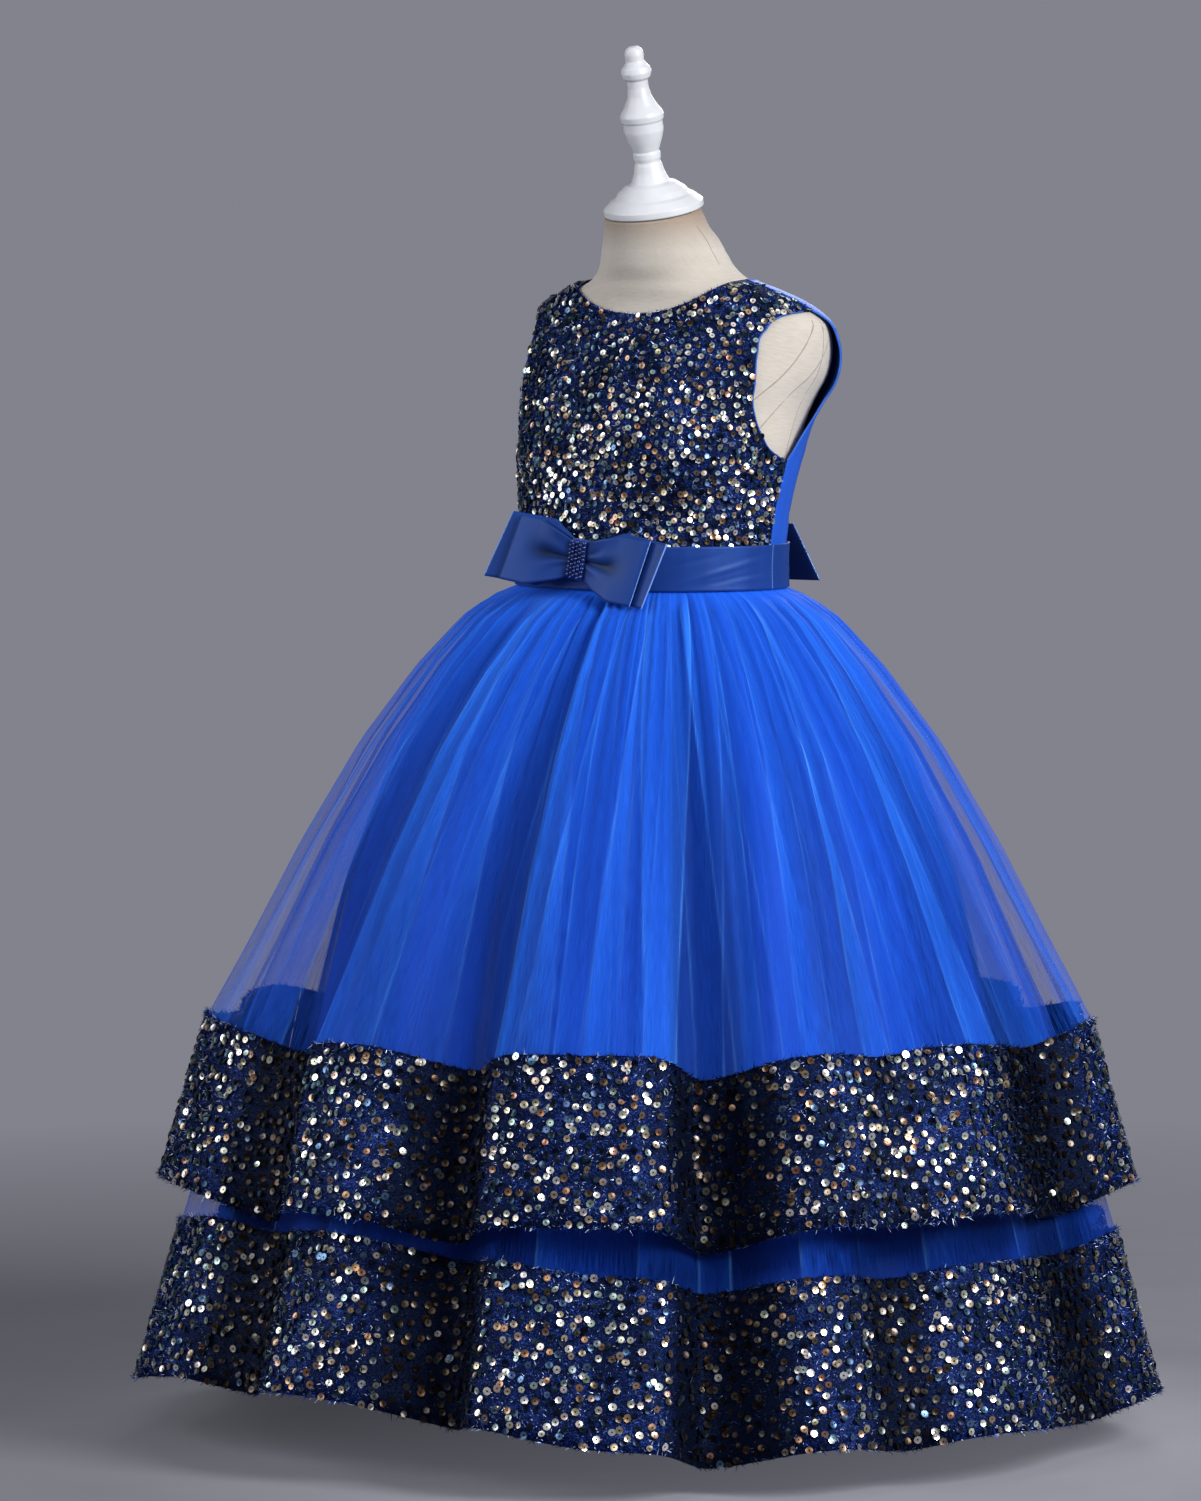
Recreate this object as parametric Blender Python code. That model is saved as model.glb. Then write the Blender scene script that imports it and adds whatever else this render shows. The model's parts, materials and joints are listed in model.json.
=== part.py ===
"""A girl's sleeveless ball gown on the limbless dress form that carries it.

Metres, +Z up. The floor is z = 0 under the middle of the form's base, the gown faces -Y and the wearer's
left is +X. An angle round the body runs from 0 at centre front through 90 degrees at the wearer's left.
Each object is one piece that is cut and sewn, or one part of the form. Tables are in centimetres.
"""

import math

import bmesh
import bpy
import numpy as np
from mathutils import Matrix, Vector

CM, MM = 0.01, 0.001
SEAM = 0.3 * MM  # the space between pieces that touch
HALF_SEAM_TURN = SEAM / 2 / (10 * CM)  # half that space as an angle round the body

SEQUIN_CLOTH, SATIN, TULLE, RIBBON = 2.0 * MM, 1.2 * MM, 1.0 * MM, 1.0 * MM

WAIST_SEAM = 0.7205  # height where bodice and skirts meet, behind the belt
BELT_BOTTOM, BELT_TOP = 0.7165, 0.754
BELT_OUT = 1.6 * MM  # the belt clears the three skirts' upper edges

# The figure: the bodice's outer surface at each height, and how far (mm) the form lies inside its wall.
FIGURE_COLUMNS = ("height", "half_width", "side_y", "front_y", "back_y", "ease_mm")
FIGURE = (
    (60.0, 13.6, 0.3, -10.9, 11.6, 6.0),
    (64.5, 13.3, 0.3, -10.8, 11.4, 6.0),
    (68.5, 12.4, 0.1, -10.2, 10.4, 5.0),
    (71.5, 12.0, 0.0, -9.9, 9.9, 4.5),
    (75.2, 11.9, 0.2, -9.8, 9.9, 4.5),
    (78.6, 12.2, 0.6, -9.4, 10.2, 4.0),
    (82.2, 12.8, 1.3, -9.0, 11.1, 4.0),
    (85.6, 13.3, 2.5, -8.3, 12.4, 4.0),
    (87.4, 13.8, 3.2, -7.6, 13.2, 3.5),
    (89.0, 14.5, 3.9, -6.6, 13.7, 3.0),
    (90.7, 14.85, 4.3, -5.5, 13.8, 2.4),
    (92.5, 14.85, 4.4, -4.4, 13.2, 1.6),
    (94.1, 14.4, 4.3, -3.2, 12.0, 1.0),
    (95.0, 13.5, 4.1, -2.9, 11.0, 0.9),
    (95.8, 12.2, 3.8, -2.8, 10.1, 0.9),
    (96.7, 10.0, 3.5, -2.9, 9.1, 0.9),
    (97.6, 7.5, 3.2, -3.0, 8.1, 1.0),
    (98.4, 6.2, 2.6, -3.1, 7.4, 0.0),
    (99.6, 5.5, 2.0, -3.3, 6.8, 0.0),
    (100.8, 5.0, 1.5, -3.5, 6.2, 0.0),
    (102.4, 4.3, 0.5, -3.8, 4.8, 0.0),
    (105.5, 4.1, -0.3, -4.3, 3.7, 0.0),
)

# Half the width of the neck opening, and the two edges of the armhole as angles round the body.
FRONT_NECK = ((94.6, 0.0), (94.75, 2.0), (95.05, 3.5), (95.8, 5.5), (96.75, 6.9), (97.2, 7.25), (97.6, 7.5))
BACK_NECK = ((96.9, 0.0), (96.98, 2.6), (97.1, 4.9), (97.25, 6.4), (97.42, 7.2), (97.6, 7.5))
ARMHOLE_COLUMNS = ("height", "front_degrees", "back_degrees")
ARMHOLE = (
    (82.4, 88, 90),
    (83.2, 78, 92),
    (84.6, 69.5, 95),
    (86.6, 61.5, 99),
    (89.0, 55, 101),
    (91.5, 51.5, 100.5),
    (93.4, 53, 98),
    (94.4, 60, 95),
    (94.75, 67, 92.5),
    (94.9, 73, 91.5),
    (95.0, 81, 90.5),
)
FRONT_ROWS = (72.08, 76.0, 80.0, 82.4, 83.2, 84.6, 86.6, 89.0, 91.5, 93.4, 94.4, 94.6, 94.75, 94.9, 95.0, 95.06,
              95.4, 95.8, 96.3, 96.75, 97.2, 97.42, 97.52, 97.6)
BACK_ROWS = (72.08, 76.0, 80.0, 82.4, 83.2, 84.6, 86.6, 89.0, 91.5, 93.4, 94.4, 94.75, 95.0, 95.06, 95.8, 96.3,
             96.9, 96.98, 97.1, 97.25, 97.42, 97.6)
GAPE, GAPE_REACH = 5 * MM, math.radians(8)  # how far the back armhole's edge stands off the form
NECK_POINT = 97.6  # height of the bodice's highest point, where shoulder and neck meet
FORM_ROWS = (59.0, 66.0, 71.5, 78.6, 83.5, 87.4, 90.0, 91.8, 93.2, 94.4, 95.2, 95.8, 96.3, 96.75, 97.2, 97.6, 98.1,
             98.8, 100.0, 101.4, 102.6, 105.5)

# Each skirt's outline: how far it stands out from the waist at each drop below the waist seam.
SKIRT_COLUMNS = ("drop", "spread")
UPPER_SKIRT = ((0.0, 0.0), (0.5, 0.0), (1.2, 1.7), (2.9, 4.1), (7.0, 8.0), (13.3, 12.8), (21.9, 18.0),
               (30.5, 22.6), (36.4, 25.9), (49.9, 29.8))
LOWER_SKIRT = ((0.0, 0.0), (0.62, 0.0), (1.2, 1.2), (2.9, 3.1), (7.0, 6.6), (13.3, 11.1), (21.9, 16.0),
               (36.4, 22.7), (49.9, 27.0), (54.2, 28.3), (67.7, 32.1))
UNDERSKIRT = ((0.0, 0.0), (0.74, 0.0), (1.2, 0.7), (2.9, 2.5), (7.0, 5.9), (13.3, 10.1), (25.0, 14.7),
              (38.0, 17.9), (52.0, 20.4), (63.2, 22.2))
UPPER_BAND_DROP, UPPER_HEM_DROP = 36.4, 49.9
LOWER_BAND_DROP, LOWER_HEM_DROP = 54.2, 67.7
UNDERSKIRT_HEM_DROP = 63.2
LIFT_DEGREES, LIFT_REACH, LIFT = -11, 31, 0.046  # the lower tier hangs shorter, by this share, right of front
WAIST_WIDTH, WAIST_DEPTH = 12.0 * CM, 9.9 * CM  # half sizes of the waist ring
DEPTH_GROWTH = 1.08  # the oval waist widens faster to front and back, so that the hem is round

# The large folds, one row each: where they are, how wide they are to either side, and how deep at the hems.
FOLD_COLUMNS = ("degrees", "left", "right", "upper_depth", "lower_depth", "lining_depth")
FOLDS = (
    (-66, 10, 10, 2.6, 3.0, 1.4),
    (-21, 7.5, 6.5, 3.6, 3.8, 1.6),
    (9.5, 7.5, 4, 4.2, 4.8, 1.4),
    (40.5, 3.5, 8, 5.6, 5.2, 1.8),
    (64, 6, 5, 1.4, 2.4, 1.2),
    (96, 13, 6.5, 3.4, 2.4, 1.4),
    (124, 8, 9, 3.0, 3.6, 1.6),
    (149, 9, 6, 3.6, 4.0, 1.3),
    (176, 6, 9, 3.0, 3.4, 1.7),
    (204, 9, 6, 3.8, 4.2, 1.4),
    (233, 7, 9, 2.8, 3.4, 1.6),
    (263, 9, 7, 3.4, 3.8, 1.5),
)
FOLD_START = 1.3  # power of the distance down the cloth at which folds deepen
GATHERS = 40  # small gathers round the upper tier's waist, three columns of points each
GATHER_SHAPE = (1.0, 0.1, -1.0)
GATHER_DEPTH = 3.2 * MM
GATHER_GROWTH, GATHER_FADE = 2.5 * CM, 30 * CM

BOW_TURN = math.radians(8.5)  # the front bow hangs lower at the wearer's left
BOW_HEIGHT = 0.7425
BOW_FLARE, BOW_LEAN = 1.3 * CM, 0.2  # its ends and lower edge stand forward, over the skirt's swell
PINCH, PINCHED_HEIGHT, KNOT_HALF = 2.5 * MM, 3.0 * CM, 0.8 * CM  # the pleated middle of a bow, inside its knot
LOOP_PUFF, LOOP_CREASE = 6 * MM, 3 * MM  # how far a loop swells, and the hollow along its middle
BOW_COLUMNS = ("half_length", "height", "slant", "lean")
BOW_RIBBONS = {
    "bow_front_ribbon": (8.0, 5.7, 0.21, BOW_LEAN),
    "bow_front_loops": (6.6, 5.6, 0.12, BOW_LEAN),
    "bow_back_loops": (8.7, 4.8, -0.5, 0.1),
}

ZIP_TOP = 0.9615  # height of the slider at centre back
SLIDER = (5.0 * MM, 9.0 * MM, 1.6 * MM)  # width, length, thickness
EAR = (0.9 * MM, 3.0 * MM, 3.2 * MM)
EAR_GAP = 3.0 * MM
PIN_RADIUS, PIN_HEIGHT = 0.5 * MM, 3.4 * MM  # the hinge pin, and its axis above the cloth
PULL_THICK, BARREL_RADIUS = 1.2 * MM, 1.3 * MM
PULL_COLUMNS = ("along_mm", "half_width_mm")
PULL = ((0.0, 1.15), (-3.0, 1.15), (-5.0, 1.5), (-11.0, 2.2), (-17.0, 2.7), (-19.0, 2.2), (-20.0, 1.0))
PULL_REST = math.radians(6)  # the tab's tip leans in to the cloth

POLE_RADIUS, BASE_RADIUS, BASE_THICK = 1.25 * CM, 14 * CM, 1.2 * CM
FORM_BOTTOM = 60 * CM
NECK_TILT = math.radians(13)
NECK_TOP = Vector((0, 0.3 * CM, 103.3 * CM))

# The neck cap's turned outline, from the finial's top down to the rim of its plate.
CAP_COLUMNS = ("height", "radius")
CAP = (
    (14.2, 0.0), (14.15, 0.45), (13.9, 0.75), (13.5, 0.82), (12.95, 0.78), (12.65, 0.95), (12.4, 1.2),
    (11.95, 1.3), (11.5, 1.15), (11.3, 0.9), (10.7, 0.88), (9.9, 1.02), (9.1, 1.4), (8.6, 1.75), (8.3, 1.87),
    (7.85, 1.8), (7.7, 1.68), (6.9, 1.7), (6.1, 1.45), (5.2, 1.08), (5.0, 1.17), (4.6, 1.17), (4.3, 1.06),
    (4.0, 1.18), (3.4, 1.3), (2.5, 1.65), (2.35, 2.2), (1.8, 2.9), (1.35, 3.2), (1.2, 3.55), (0.75, 4.05),
    (0.6, 4.25), (0.1, 4.25), (0.0, 4.1), (0.0, 0.0),
)


# ---------------------------------------------------------------- materials and objects


def material(name, colour, roughness, metallic=0.0):
    made = bpy.data.materials.new(name)
    made.use_nodes = True
    shader = made.node_tree.nodes["Principled BSDF"]
    shader.inputs["Base Color"].default_value = (*colour, 1)
    shader.inputs["Roughness"].default_value = roughness
    shader.inputs["Metallic"].default_value = metallic
    return made


def new_object(name, mesh, finish, smooth_below=40):
    mesh.materials.append(finish)
    made = bpy.data.objects.new(name, mesh)
    bpy.context.scene.collection.objects.link(made)
    mesh.shade_smooth()
    mesh.set_sharp_from_angle(angle=math.radians(smooth_below))
    return made


def edit(mesh, action=None):
    """Runs `action` on the mesh as a bmesh, and makes points that coincide one."""
    bm = bmesh.new()
    bm.from_mesh(mesh)
    if action:
        action(bm)
    bmesh.ops.remove_doubles(bm, verts=bm.verts, dist=1e-6)
    bm.to_mesh(mesh)
    bm.free()


def grid_mesh(name, grid, ring_columns=False):
    """Quads over a grid of points (rows, columns, 3). Columns run left to right as seen from outside."""
    rows, columns = grid.shape[:2]
    index = np.arange(rows * columns).reshape(rows, columns)
    if ring_columns:
        index = np.hstack([index, index[:, :1]])
    corners = (index[:-1, :-1], index[:-1, 1:], index[1:, 1:], index[1:, :-1])
    faces = np.stack(corners, axis=-1).reshape(-1, 4)
    mesh = bpy.data.meshes.new(name)
    mesh.from_pydata(grid.reshape(-1, 3).tolist(), [], faces.tolist())
    edit(mesh)
    return mesh


def wall(made, thickness, offset=1.0):
    """Solidify: the mesh is the cloth's inner face, and its thickness goes outwards."""
    solid = made.modifiers.new("wall", "SOLIDIFY")
    solid.thickness = thickness
    solid.offset = offset
    solid.use_even_offset = True
    solid.thickness_clamp = 1.0
    return made


def apply_modifiers(made):
    graph = bpy.context.evaluated_depsgraph_get()
    mesh = bpy.data.meshes.new_from_object(made.evaluated_get(graph))
    made.modifiers.clear()
    made.data = mesh


def cut(made, at, keep):
    """Cuts the solid at a plane and keeps the side that `keep` points to, closed with a flat face."""

    def action(bm):
        everything = bm.verts[:] + bm.edges[:] + bm.faces[:]
        found = bmesh.ops.bisect_plane(
            bm, geom=everything, plane_co=at, plane_no=keep, clear_inner=True
        )
        edges = [e for e in found["geom_cut"] if isinstance(e, bmesh.types.BMEdge)]
        bmesh.ops.holes_fill(bm, edges=edges)

    edit(made.data, action)


def turned(name, outline, finish, segments):
    """A solid of revolution about Z. The outline's (height, radius) rows run from top to bottom."""
    mesh = bpy.data.meshes.new(name)
    points = [(radius * CM, 0, height * CM) for height, radius in outline]
    mesh.from_pydata(points, [(i, i + 1) for i in range(len(points) - 1)], [])
    made = new_object(name, mesh, finish)
    screw = made.modifiers.new("turn", "SCREW")
    screw.steps = screw.render_steps = segments
    screw.use_merge_vertices = True
    screw.merge_threshold = 1e-5
    screw.use_smooth_shade = True
    return made


# ---------------------------------------------------------------- curves and surfaces


def smooth(xs, ys, x):
    """The cubic Hermite curve through the points (xs, ys), read at x. Its slopes are the neighbours'."""
    xs, ys = np.asarray(xs, float), np.asarray(ys, float)
    slope = np.gradient(ys, xs)
    x = np.clip(x, xs[0], xs[-1])
    i = np.clip(np.searchsorted(xs, x, side="right") - 1, 0, len(xs) - 2)
    step = xs[i + 1] - xs[i]
    t = (x - xs[i]) / step
    rise = ys[i] + (ys[i + 1] - ys[i]) * t * t * (3 - 2 * t)
    return rise + step * t * (1 - t) * (slope[i] * (1 - t) - slope[i + 1] * t)


def figure(height, column):
    table = np.array(FIGURE)
    return smooth(table[:, 0] * CM, table[:, FIGURE_COLUMNS.index(column)], height)


def figure_surface(angle, height):
    """An oval at each height, whose front and back halves have depths of their own."""
    side = figure(height, "side_y")
    depth = np.where(np.cos(angle) > 0, side - figure(height, "front_y"), figure(height, "back_y") - side)
    across = figure(height, "half_width") * np.sin(angle)
    return np.stack([across * CM, (side - depth * np.cos(angle)) * CM, height + 0 * angle], axis=-1)


def figure_points(angle, height, out):
    """Points `out` metres outside the figure's surface, along its normal."""
    angle, height, out = np.broadcast_arrays(angle, height, out)
    step = 1e-4
    round_body = figure_surface(angle + step, height) - figure_surface(angle - step, height)
    up_body = figure_surface(angle, height + step) - figure_surface(angle, height - step)
    normal = np.cross(round_body, up_body)
    normal /= np.linalg.norm(normal, axis=-1, keepdims=True)
    return figure_surface(angle, height) + normal * out[..., None]


def spread_angles(start, end, count):
    """Angles from each row's start to its end, one row for each height."""
    start, end = np.broadcast_arrays(start, end)
    return start[:, None] + (end - start)[:, None] * np.linspace(0, 1, count)


def armhole_edge(heights, column):
    """The angle of the armhole's edge, or 90 degrees where the side or shoulder seam is the edge."""
    table = np.array(ARMHOLE, float)
    edge = smooth(table[:, 0] * CM, table[:, ARMHOLE_COLUMNS.index(column)], heights)
    inside = (heights >= table[0, 0] * CM) & (heights <= table[-1, 0] * CM)
    return np.radians(np.where(inside, edge, 90))


def neck_edge(heights, opening):
    """The angle of the neck's edge, measured from the middle: 0 below the opening's lowest point."""
    table = np.array(opening)
    half = np.interp(heights, table[:, 0] * CM, table[:, 1])
    return np.arcsin(np.clip(half / figure(heights, "half_width"), 0, 1))


# ---------------------------------------------------------------- bodice and belt


def bodice_front(finish):
    """Half the front as a grid from the middle or neck edge to the side, mirrored and given its wall."""
    heights = np.array(FRONT_ROWS) * CM
    side = armhole_edge(heights, "front_degrees") - HALF_SEAM_TURN
    angles = spread_angles(np.minimum(neck_edge(heights, FRONT_NECK), side), side, 10)
    grid = figure_points(angles, heights[:, None], -SEQUIN_CLOTH)
    grid[:, 0, 0] = np.where(angles[:, 0] <= 0, 0, grid[:, 0, 0])
    made = new_object("bodice_front", grid_mesh("bodice_front", grid), finish)
    mirror = made.modifiers.new("right half", "MIRROR")
    mirror.merge_threshold = 1e-5
    return wall(made, SEQUIN_CLOTH)


def bodice_back(name, hand, finish):
    """One back: from the side seam, armhole or shoulder seam to the zip. hand is +1 for the wearer's left."""
    heights = np.array(BACK_ROWS) * CM
    side = armhole_edge(heights, "back_degrees") + HALF_SEAM_TURN
    middle = np.maximum(np.pi - HALF_SEAM_TURN - neck_edge(heights, BACK_NECK), side)
    angles = spread_angles(side, middle, 7)
    lowest, highest = ARMHOLE[0][0] * CM, ARMHOLE[-1][0] * CM
    up_armhole = np.clip((heights - lowest) / (highest - lowest), 0, 1)[:, None]
    from_edge = (angles - side[:, None]) / GAPE_REACH
    gape = GAPE * np.sin(np.pi * up_armhole) * np.exp(-(from_edge**2))
    grid = figure_points(angles, heights[:, None], gape - SATIN)
    if hand < 0:
        grid = grid[:, ::-1] * (-1, 1, 1)
    return wall(new_object(name, grid_mesh(name, grid), finish), SATIN)


def belt(name, start, end, finish):
    heights = np.array([BELT_BOTTOM, (BELT_BOTTOM + BELT_TOP) / 2, BELT_TOP])
    edge = math.degrees(HALF_SEAM_TURN)
    columns = 1 + round((end - start) / 6)
    angles = np.radians(np.linspace(start + edge, end - edge, columns))[None, :]
    grid = figure_points(angles, heights[:, None], BELT_OUT)
    return wall(new_object(name, grid_mesh(name, grid), finish), SATIN)


# ---------------------------------------------------------------- skirts


def fold_depth(angles, column):
    """Depth of the large folds at each angle: the outline is the crests, and each fold dips inwards."""
    depth = np.zeros_like(angles)
    for row in FOLDS:
        away = (np.degrees(angles) - row[0] + 180) % 360 - 180
        width = np.where(away < 0, row[1], row[2])
        depth += row[FOLD_COLUMNS.index(column)] * CM * np.exp(-((away / width) ** 2))
    return depth


def skirt_grid(outline, column, angles, drops, waist_out, lift=0.0, gathers=False):
    """A skirt's inner face. Every column of cloth is as long as the outline, so a fold also hangs lower.

    Going down a column, dl is the outline's own length and ds its spread less the fold's, and the drop is
    the sum of sqrt(dl^2 - ds^2). The rows are where the outline has these drops. Where the cloth is cut
    shorter, its drops are less by the share `lift`.
    """
    table, rows = np.array(outline) * CM, np.array(drops) * CM
    drop = np.unique(np.concatenate([np.linspace(0, table[-1, 0], 400), table[:, 0], rows]))
    spread = np.interp(drop, table[:, 0], table[:, 1])
    length = np.concatenate([[0], np.cumsum(np.hypot(np.diff(drop), np.diff(spread)))])
    share = (length / length[-1])[:, None]
    out = spread[:, None] - share**FOLD_START * fold_depth(angles, column)[None, :]
    steps = np.diff(length)[:, None] ** 2 - np.diff(out, axis=0) ** 2
    down = np.concatenate([0 * out[:1], np.cumsum(np.sqrt(np.maximum(steps, 0)), axis=0)])
    at = np.searchsorted(drop, rows)
    from_lift = (np.degrees(angles) - LIFT_DEGREES + 180) % 360 - 180
    out, down = out[at] + waist_out, down[at] * (1 - lift * np.exp(-((from_lift / LIFT_REACH) ** 4)))
    if gathers:
        reach = length[at][:, None]
        ripple = np.resize(GATHER_SHAPE, len(angles)) * (0.75 + 0.25 * np.sin(7 * angles))
        size = GATHER_DEPTH * np.clip(reach / GATHER_GROWTH, 0, 1) * np.exp(-reach / GATHER_FADE)
        out = out + np.where(reach > 1 * CM, size, 0) * ripple
    x = (WAIST_WIDTH + out) * np.sin(angles)
    y = -(WAIST_DEPTH + out * DEPTH_GROWTH) * np.cos(angles)
    grid = np.stack([x, y, WAIST_SEAM - SEAM / 2 - down], axis=-1)
    return grid[::-1]


def skirt(name, outline, column, drops, waist_out, thickness, columns, finish, lift=0.0, gathers=False):
    """A whole tube of cloth, given its wall and cut at the side seams into a front and a back."""
    angles = np.arange(columns) * 2 * np.pi / columns
    grid = skirt_grid(outline, column, angles, drops, waist_out, lift, gathers)
    for side, sign in (("front", -1), ("back", 1)):
        half = new_object(f"{name}_{side}", grid_mesh(name, grid, ring_columns=True), finish)
        wall(half, thickness)
        apply_modifiers(half)
        cut(half, (0, sign * SEAM / 2, 0), (0, sign, 0))
        half.data.shade_smooth()
        half.data.set_sharp_from_angle(angle=math.radians(60))


def skirts(satin, tulle, sequin_cloth):
    """Three skirts one inside the other at the waist: underskirt, lower tier and upper tier."""
    apart = SEAM / CM
    underskirt_out = -2.9 * MM
    lower_out = underskirt_out + SATIN + SEAM
    upper_out = lower_out + TULLE + SEAM
    skirt("underskirt", UNDERSKIRT, "lining_depth", (0, 0.74, 2.9, 9, 24, UNDERSKIRT_HEM_DROP),
          underskirt_out, SATIN, 48, satin)
    skirt("tulle_lower", LOWER_SKIRT, "lower_depth", (0, 0.62, 2.9, 9, 26, LOWER_BAND_DROP - apart),
          lower_out, TULLE, 108, tulle, LIFT)
    skirt("band_lower", LOWER_SKIRT, "lower_depth", (LOWER_BAND_DROP, LOWER_HEM_DROP),
          lower_out, SEQUIN_CLOTH, 108, sequin_cloth, LIFT)
    skirt("tulle_upper", UPPER_SKIRT, "upper_depth", (0, 0.5, 2.9, 9, 20, UPPER_BAND_DROP - apart),
          upper_out, TULLE, 3 * GATHERS, tulle, gathers=True)
    skirt("band_upper", UPPER_SKIRT, "upper_depth", (UPPER_BAND_DROP, UPPER_HEM_DROP),
          upper_out, SEQUIN_CLOTH, 3 * GATHERS, sequin_cloth)


# ---------------------------------------------------------------- bows


def past_knot(along, half_length):
    """0 inside the knot, growing to 1 at the bow's end."""
    return np.clip((np.abs(along) - KNOT_HALF) / (half_length - KNOT_HALF), 0, 1)


def bow_place(grid, back_of_knot, front, flare, lean):
    """Stands a bow's own (along, forward, up) points on the gown, bent forward at its ends and lower edge."""
    along, forward, up = grid[..., 0], grid[..., 1], grid[..., 2]
    forward = forward + flare * (along / (9 * CM)) ** 2 - lean * up * past_knot(along, 4 * CM)
    turn = BOW_TURN if front else 0
    x = along * math.cos(turn) + up * math.sin(turn)
    z = -along * math.sin(turn) + up * math.cos(turn) + BOW_HEIGHT
    side = -1 if front else 1
    return np.stack([-side * x, side * (back_of_knot + forward), z], axis=-1)


def bow_stops(half_length):
    """Distances along half a bow, from the knot's side to the end."""
    return KNOT_HALF + (half_length - KNOT_HALF) * np.array((0, 0.12, 0.28, 0.45, 0.63, 0.8, 0.93, 1))


def bow_sizes(name):
    half_length, height, slant, lean = BOW_RIBBONS[name]
    return half_length * CM, height * CM, slant, lean


def bow_loops(name, back_of_knot, middle, front, finish):
    """A ribbon closed on itself, pinched in the middle: two loops with soft creases by the knot."""
    half_length, height, slant, lean = bow_sizes(name)
    stops = bow_stops(half_length)
    along = np.concatenate([stops[::-1], -stops, -stops[-2::-1], stops[:-1]])
    outer = np.arange(len(along)) < 2 * len(stops)
    across = np.linspace(-0.5, 0.5, 5)[:, None]
    past = past_knot(along, half_length)
    puff = outer * LOOP_PUFF * np.sin(np.pi * past**0.8) * (1 - 0.5 * past)
    crease = outer * LOOP_CREASE * np.sin(np.pi * past**0.6) ** 2 * (1 - past) * (1 - (2 * across) ** 2)
    ribbon = PINCHED_HEIGHT + (height - PINCHED_HEIGHT) * np.minimum(past / 0.6, 1) ** 0.8
    up = across * ribbon
    end = np.sqrt(1 - (along / half_length) ** 10)
    forward = middle + (np.where(outer, PINCH, -PINCH) + puff - crease) * end
    slanted = slant * up * past * (1 if front else np.sign(along))
    grid = bow_place(np.stack([along + slanted, forward, up], axis=-1), back_of_knot, front,
                     BOW_FLARE if front else 0, lean)
    mesh = grid_mesh(name, grid[:, ::-1], ring_columns=True)
    return wall(new_object(name, mesh, finish, 60), RIBBON, 0)


def bow_ribbon(name, back_of_knot, middle, finish):
    """The flat ribbon under the loops, narrowed where the knot holds it."""
    half_length, height, slant, lean = bow_sizes(name)
    loop_length = bow_sizes("bow_front_loops")[0]
    past_loops = np.linspace(loop_length, half_length, 3)[1:]
    stops = np.concatenate([bow_stops(loop_length), past_loops])
    along = np.concatenate([-stops[::-1], stops])[None, :]
    ribbon = PINCHED_HEIGHT + (height - PINCHED_HEIGHT) * past_knot(along, 3.5 * CM)
    up = np.array([-0.5, 0, 0.5])[:, None] * ribbon
    slanted = slant * up * past_knot(along, half_length)
    grid = np.stack([along + slanted, middle + 0 * up, up], axis=-1)
    grid = bow_place(grid, back_of_knot, True, BOW_FLARE, lean)
    return wall(new_object(name, grid_mesh(name, grid), finish, 60), RIBBON, 0)


def rounded_rectangle(half_wide, half_tall, radius):
    """Points round a rectangle with round corners, three to a corner."""
    turns = np.radians(90 * np.arange(4)[:, None] + np.array((0, 45, 90))).ravel()
    centres = np.repeat(((1, 1), (-1, 1), (-1, -1), (1, -1)), 3, axis=0) * (half_wide - radius, half_tall - radius)
    return centres + radius * np.stack([np.cos(turns), np.sin(turns)], axis=-1)


def bow_knot(name, back_of_knot, depth, front, finish):
    """A ring of ribbon round the pinched middle: a rounded rectangle seen end on, swept along the bow."""
    half_tall = PINCHED_HEIGHT / 2 + 3 * SEAM + RIBBON / 2
    ring = rounded_rectangle(depth / 2 - RIBBON / 2, half_tall, 1.5 * MM)
    along = np.array([-1, 0, 1])[:, None] * (KNOT_HALF - 2 * SEAM)
    shape = np.stack(np.broadcast_arrays(along, depth / 2 + ring[:, 0], ring[:, 1]), axis=-1)
    grid = bow_place(shape, back_of_knot, front, 0, 0)
    mesh = grid_mesh(name, grid[::-1], ring_columns=True)
    return wall(new_object(name, mesh, finish, 60), RIBBON, 0)


def bows(ribbon):
    belt_face = figure(BOW_HEIGHT, "front_y") * -CM + BELT_OUT + SATIN
    back_of_knot = float(belt_face) + 2 * SEAM
    flat = RIBBON + SEAM + RIBBON / 2
    loops = flat + RIBBON + 3 * SEAM + PINCH
    depth = loops + PINCH + RIBBON / 2 + 2 * SEAM + RIBBON
    bow_ribbon("bow_front_ribbon", back_of_knot, flat, ribbon)
    bow_loops("bow_front_loops", back_of_knot, loops, True, ribbon)
    bow_knot("bow_front_knot", back_of_knot, depth, True, ribbon)
    back_face = figure(BOW_HEIGHT, "back_y") * CM + BELT_OUT + SATIN
    back_of_knot = float(back_face) + 3 * SEAM
    loops = RIBBON + SEAM + RIBBON / 2 + PINCH
    depth = loops + PINCH + RIBBON / 2 + 2 * SEAM + RIBBON
    bow_loops("bow_back_loops", back_of_knot, loops, False, ribbon)
    bow_knot("bow_back_knot", back_of_knot, depth, False, ribbon)


# ---------------------------------------------------------------- zip


def zip_place():
    """On the cloth at centre back: local Y runs up the back and local Z out of the cloth."""
    here, above = (Vector(figure_points(math.pi, z, 0.0)) for z in (ZIP_TOP, ZIP_TOP + MM))
    up = (above - here).normalized()
    across = Vector((-1, 0, 0))
    turn = Matrix((across, up, across.cross(up))).transposed()
    return Matrix.Translation(here) @ turn.to_4x4()


def box(name, size, centre, finish):
    bm = bmesh.new()
    bmesh.ops.create_cube(bm, size=1)
    bmesh.ops.scale(bm, vec=size, verts=bm.verts)
    bmesh.ops.translate(bm, vec=centre, verts=bm.verts)
    mesh = bpy.data.meshes.new(name)
    bm.to_mesh(mesh)
    bm.free()
    return new_object(name, mesh, finish)


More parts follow.
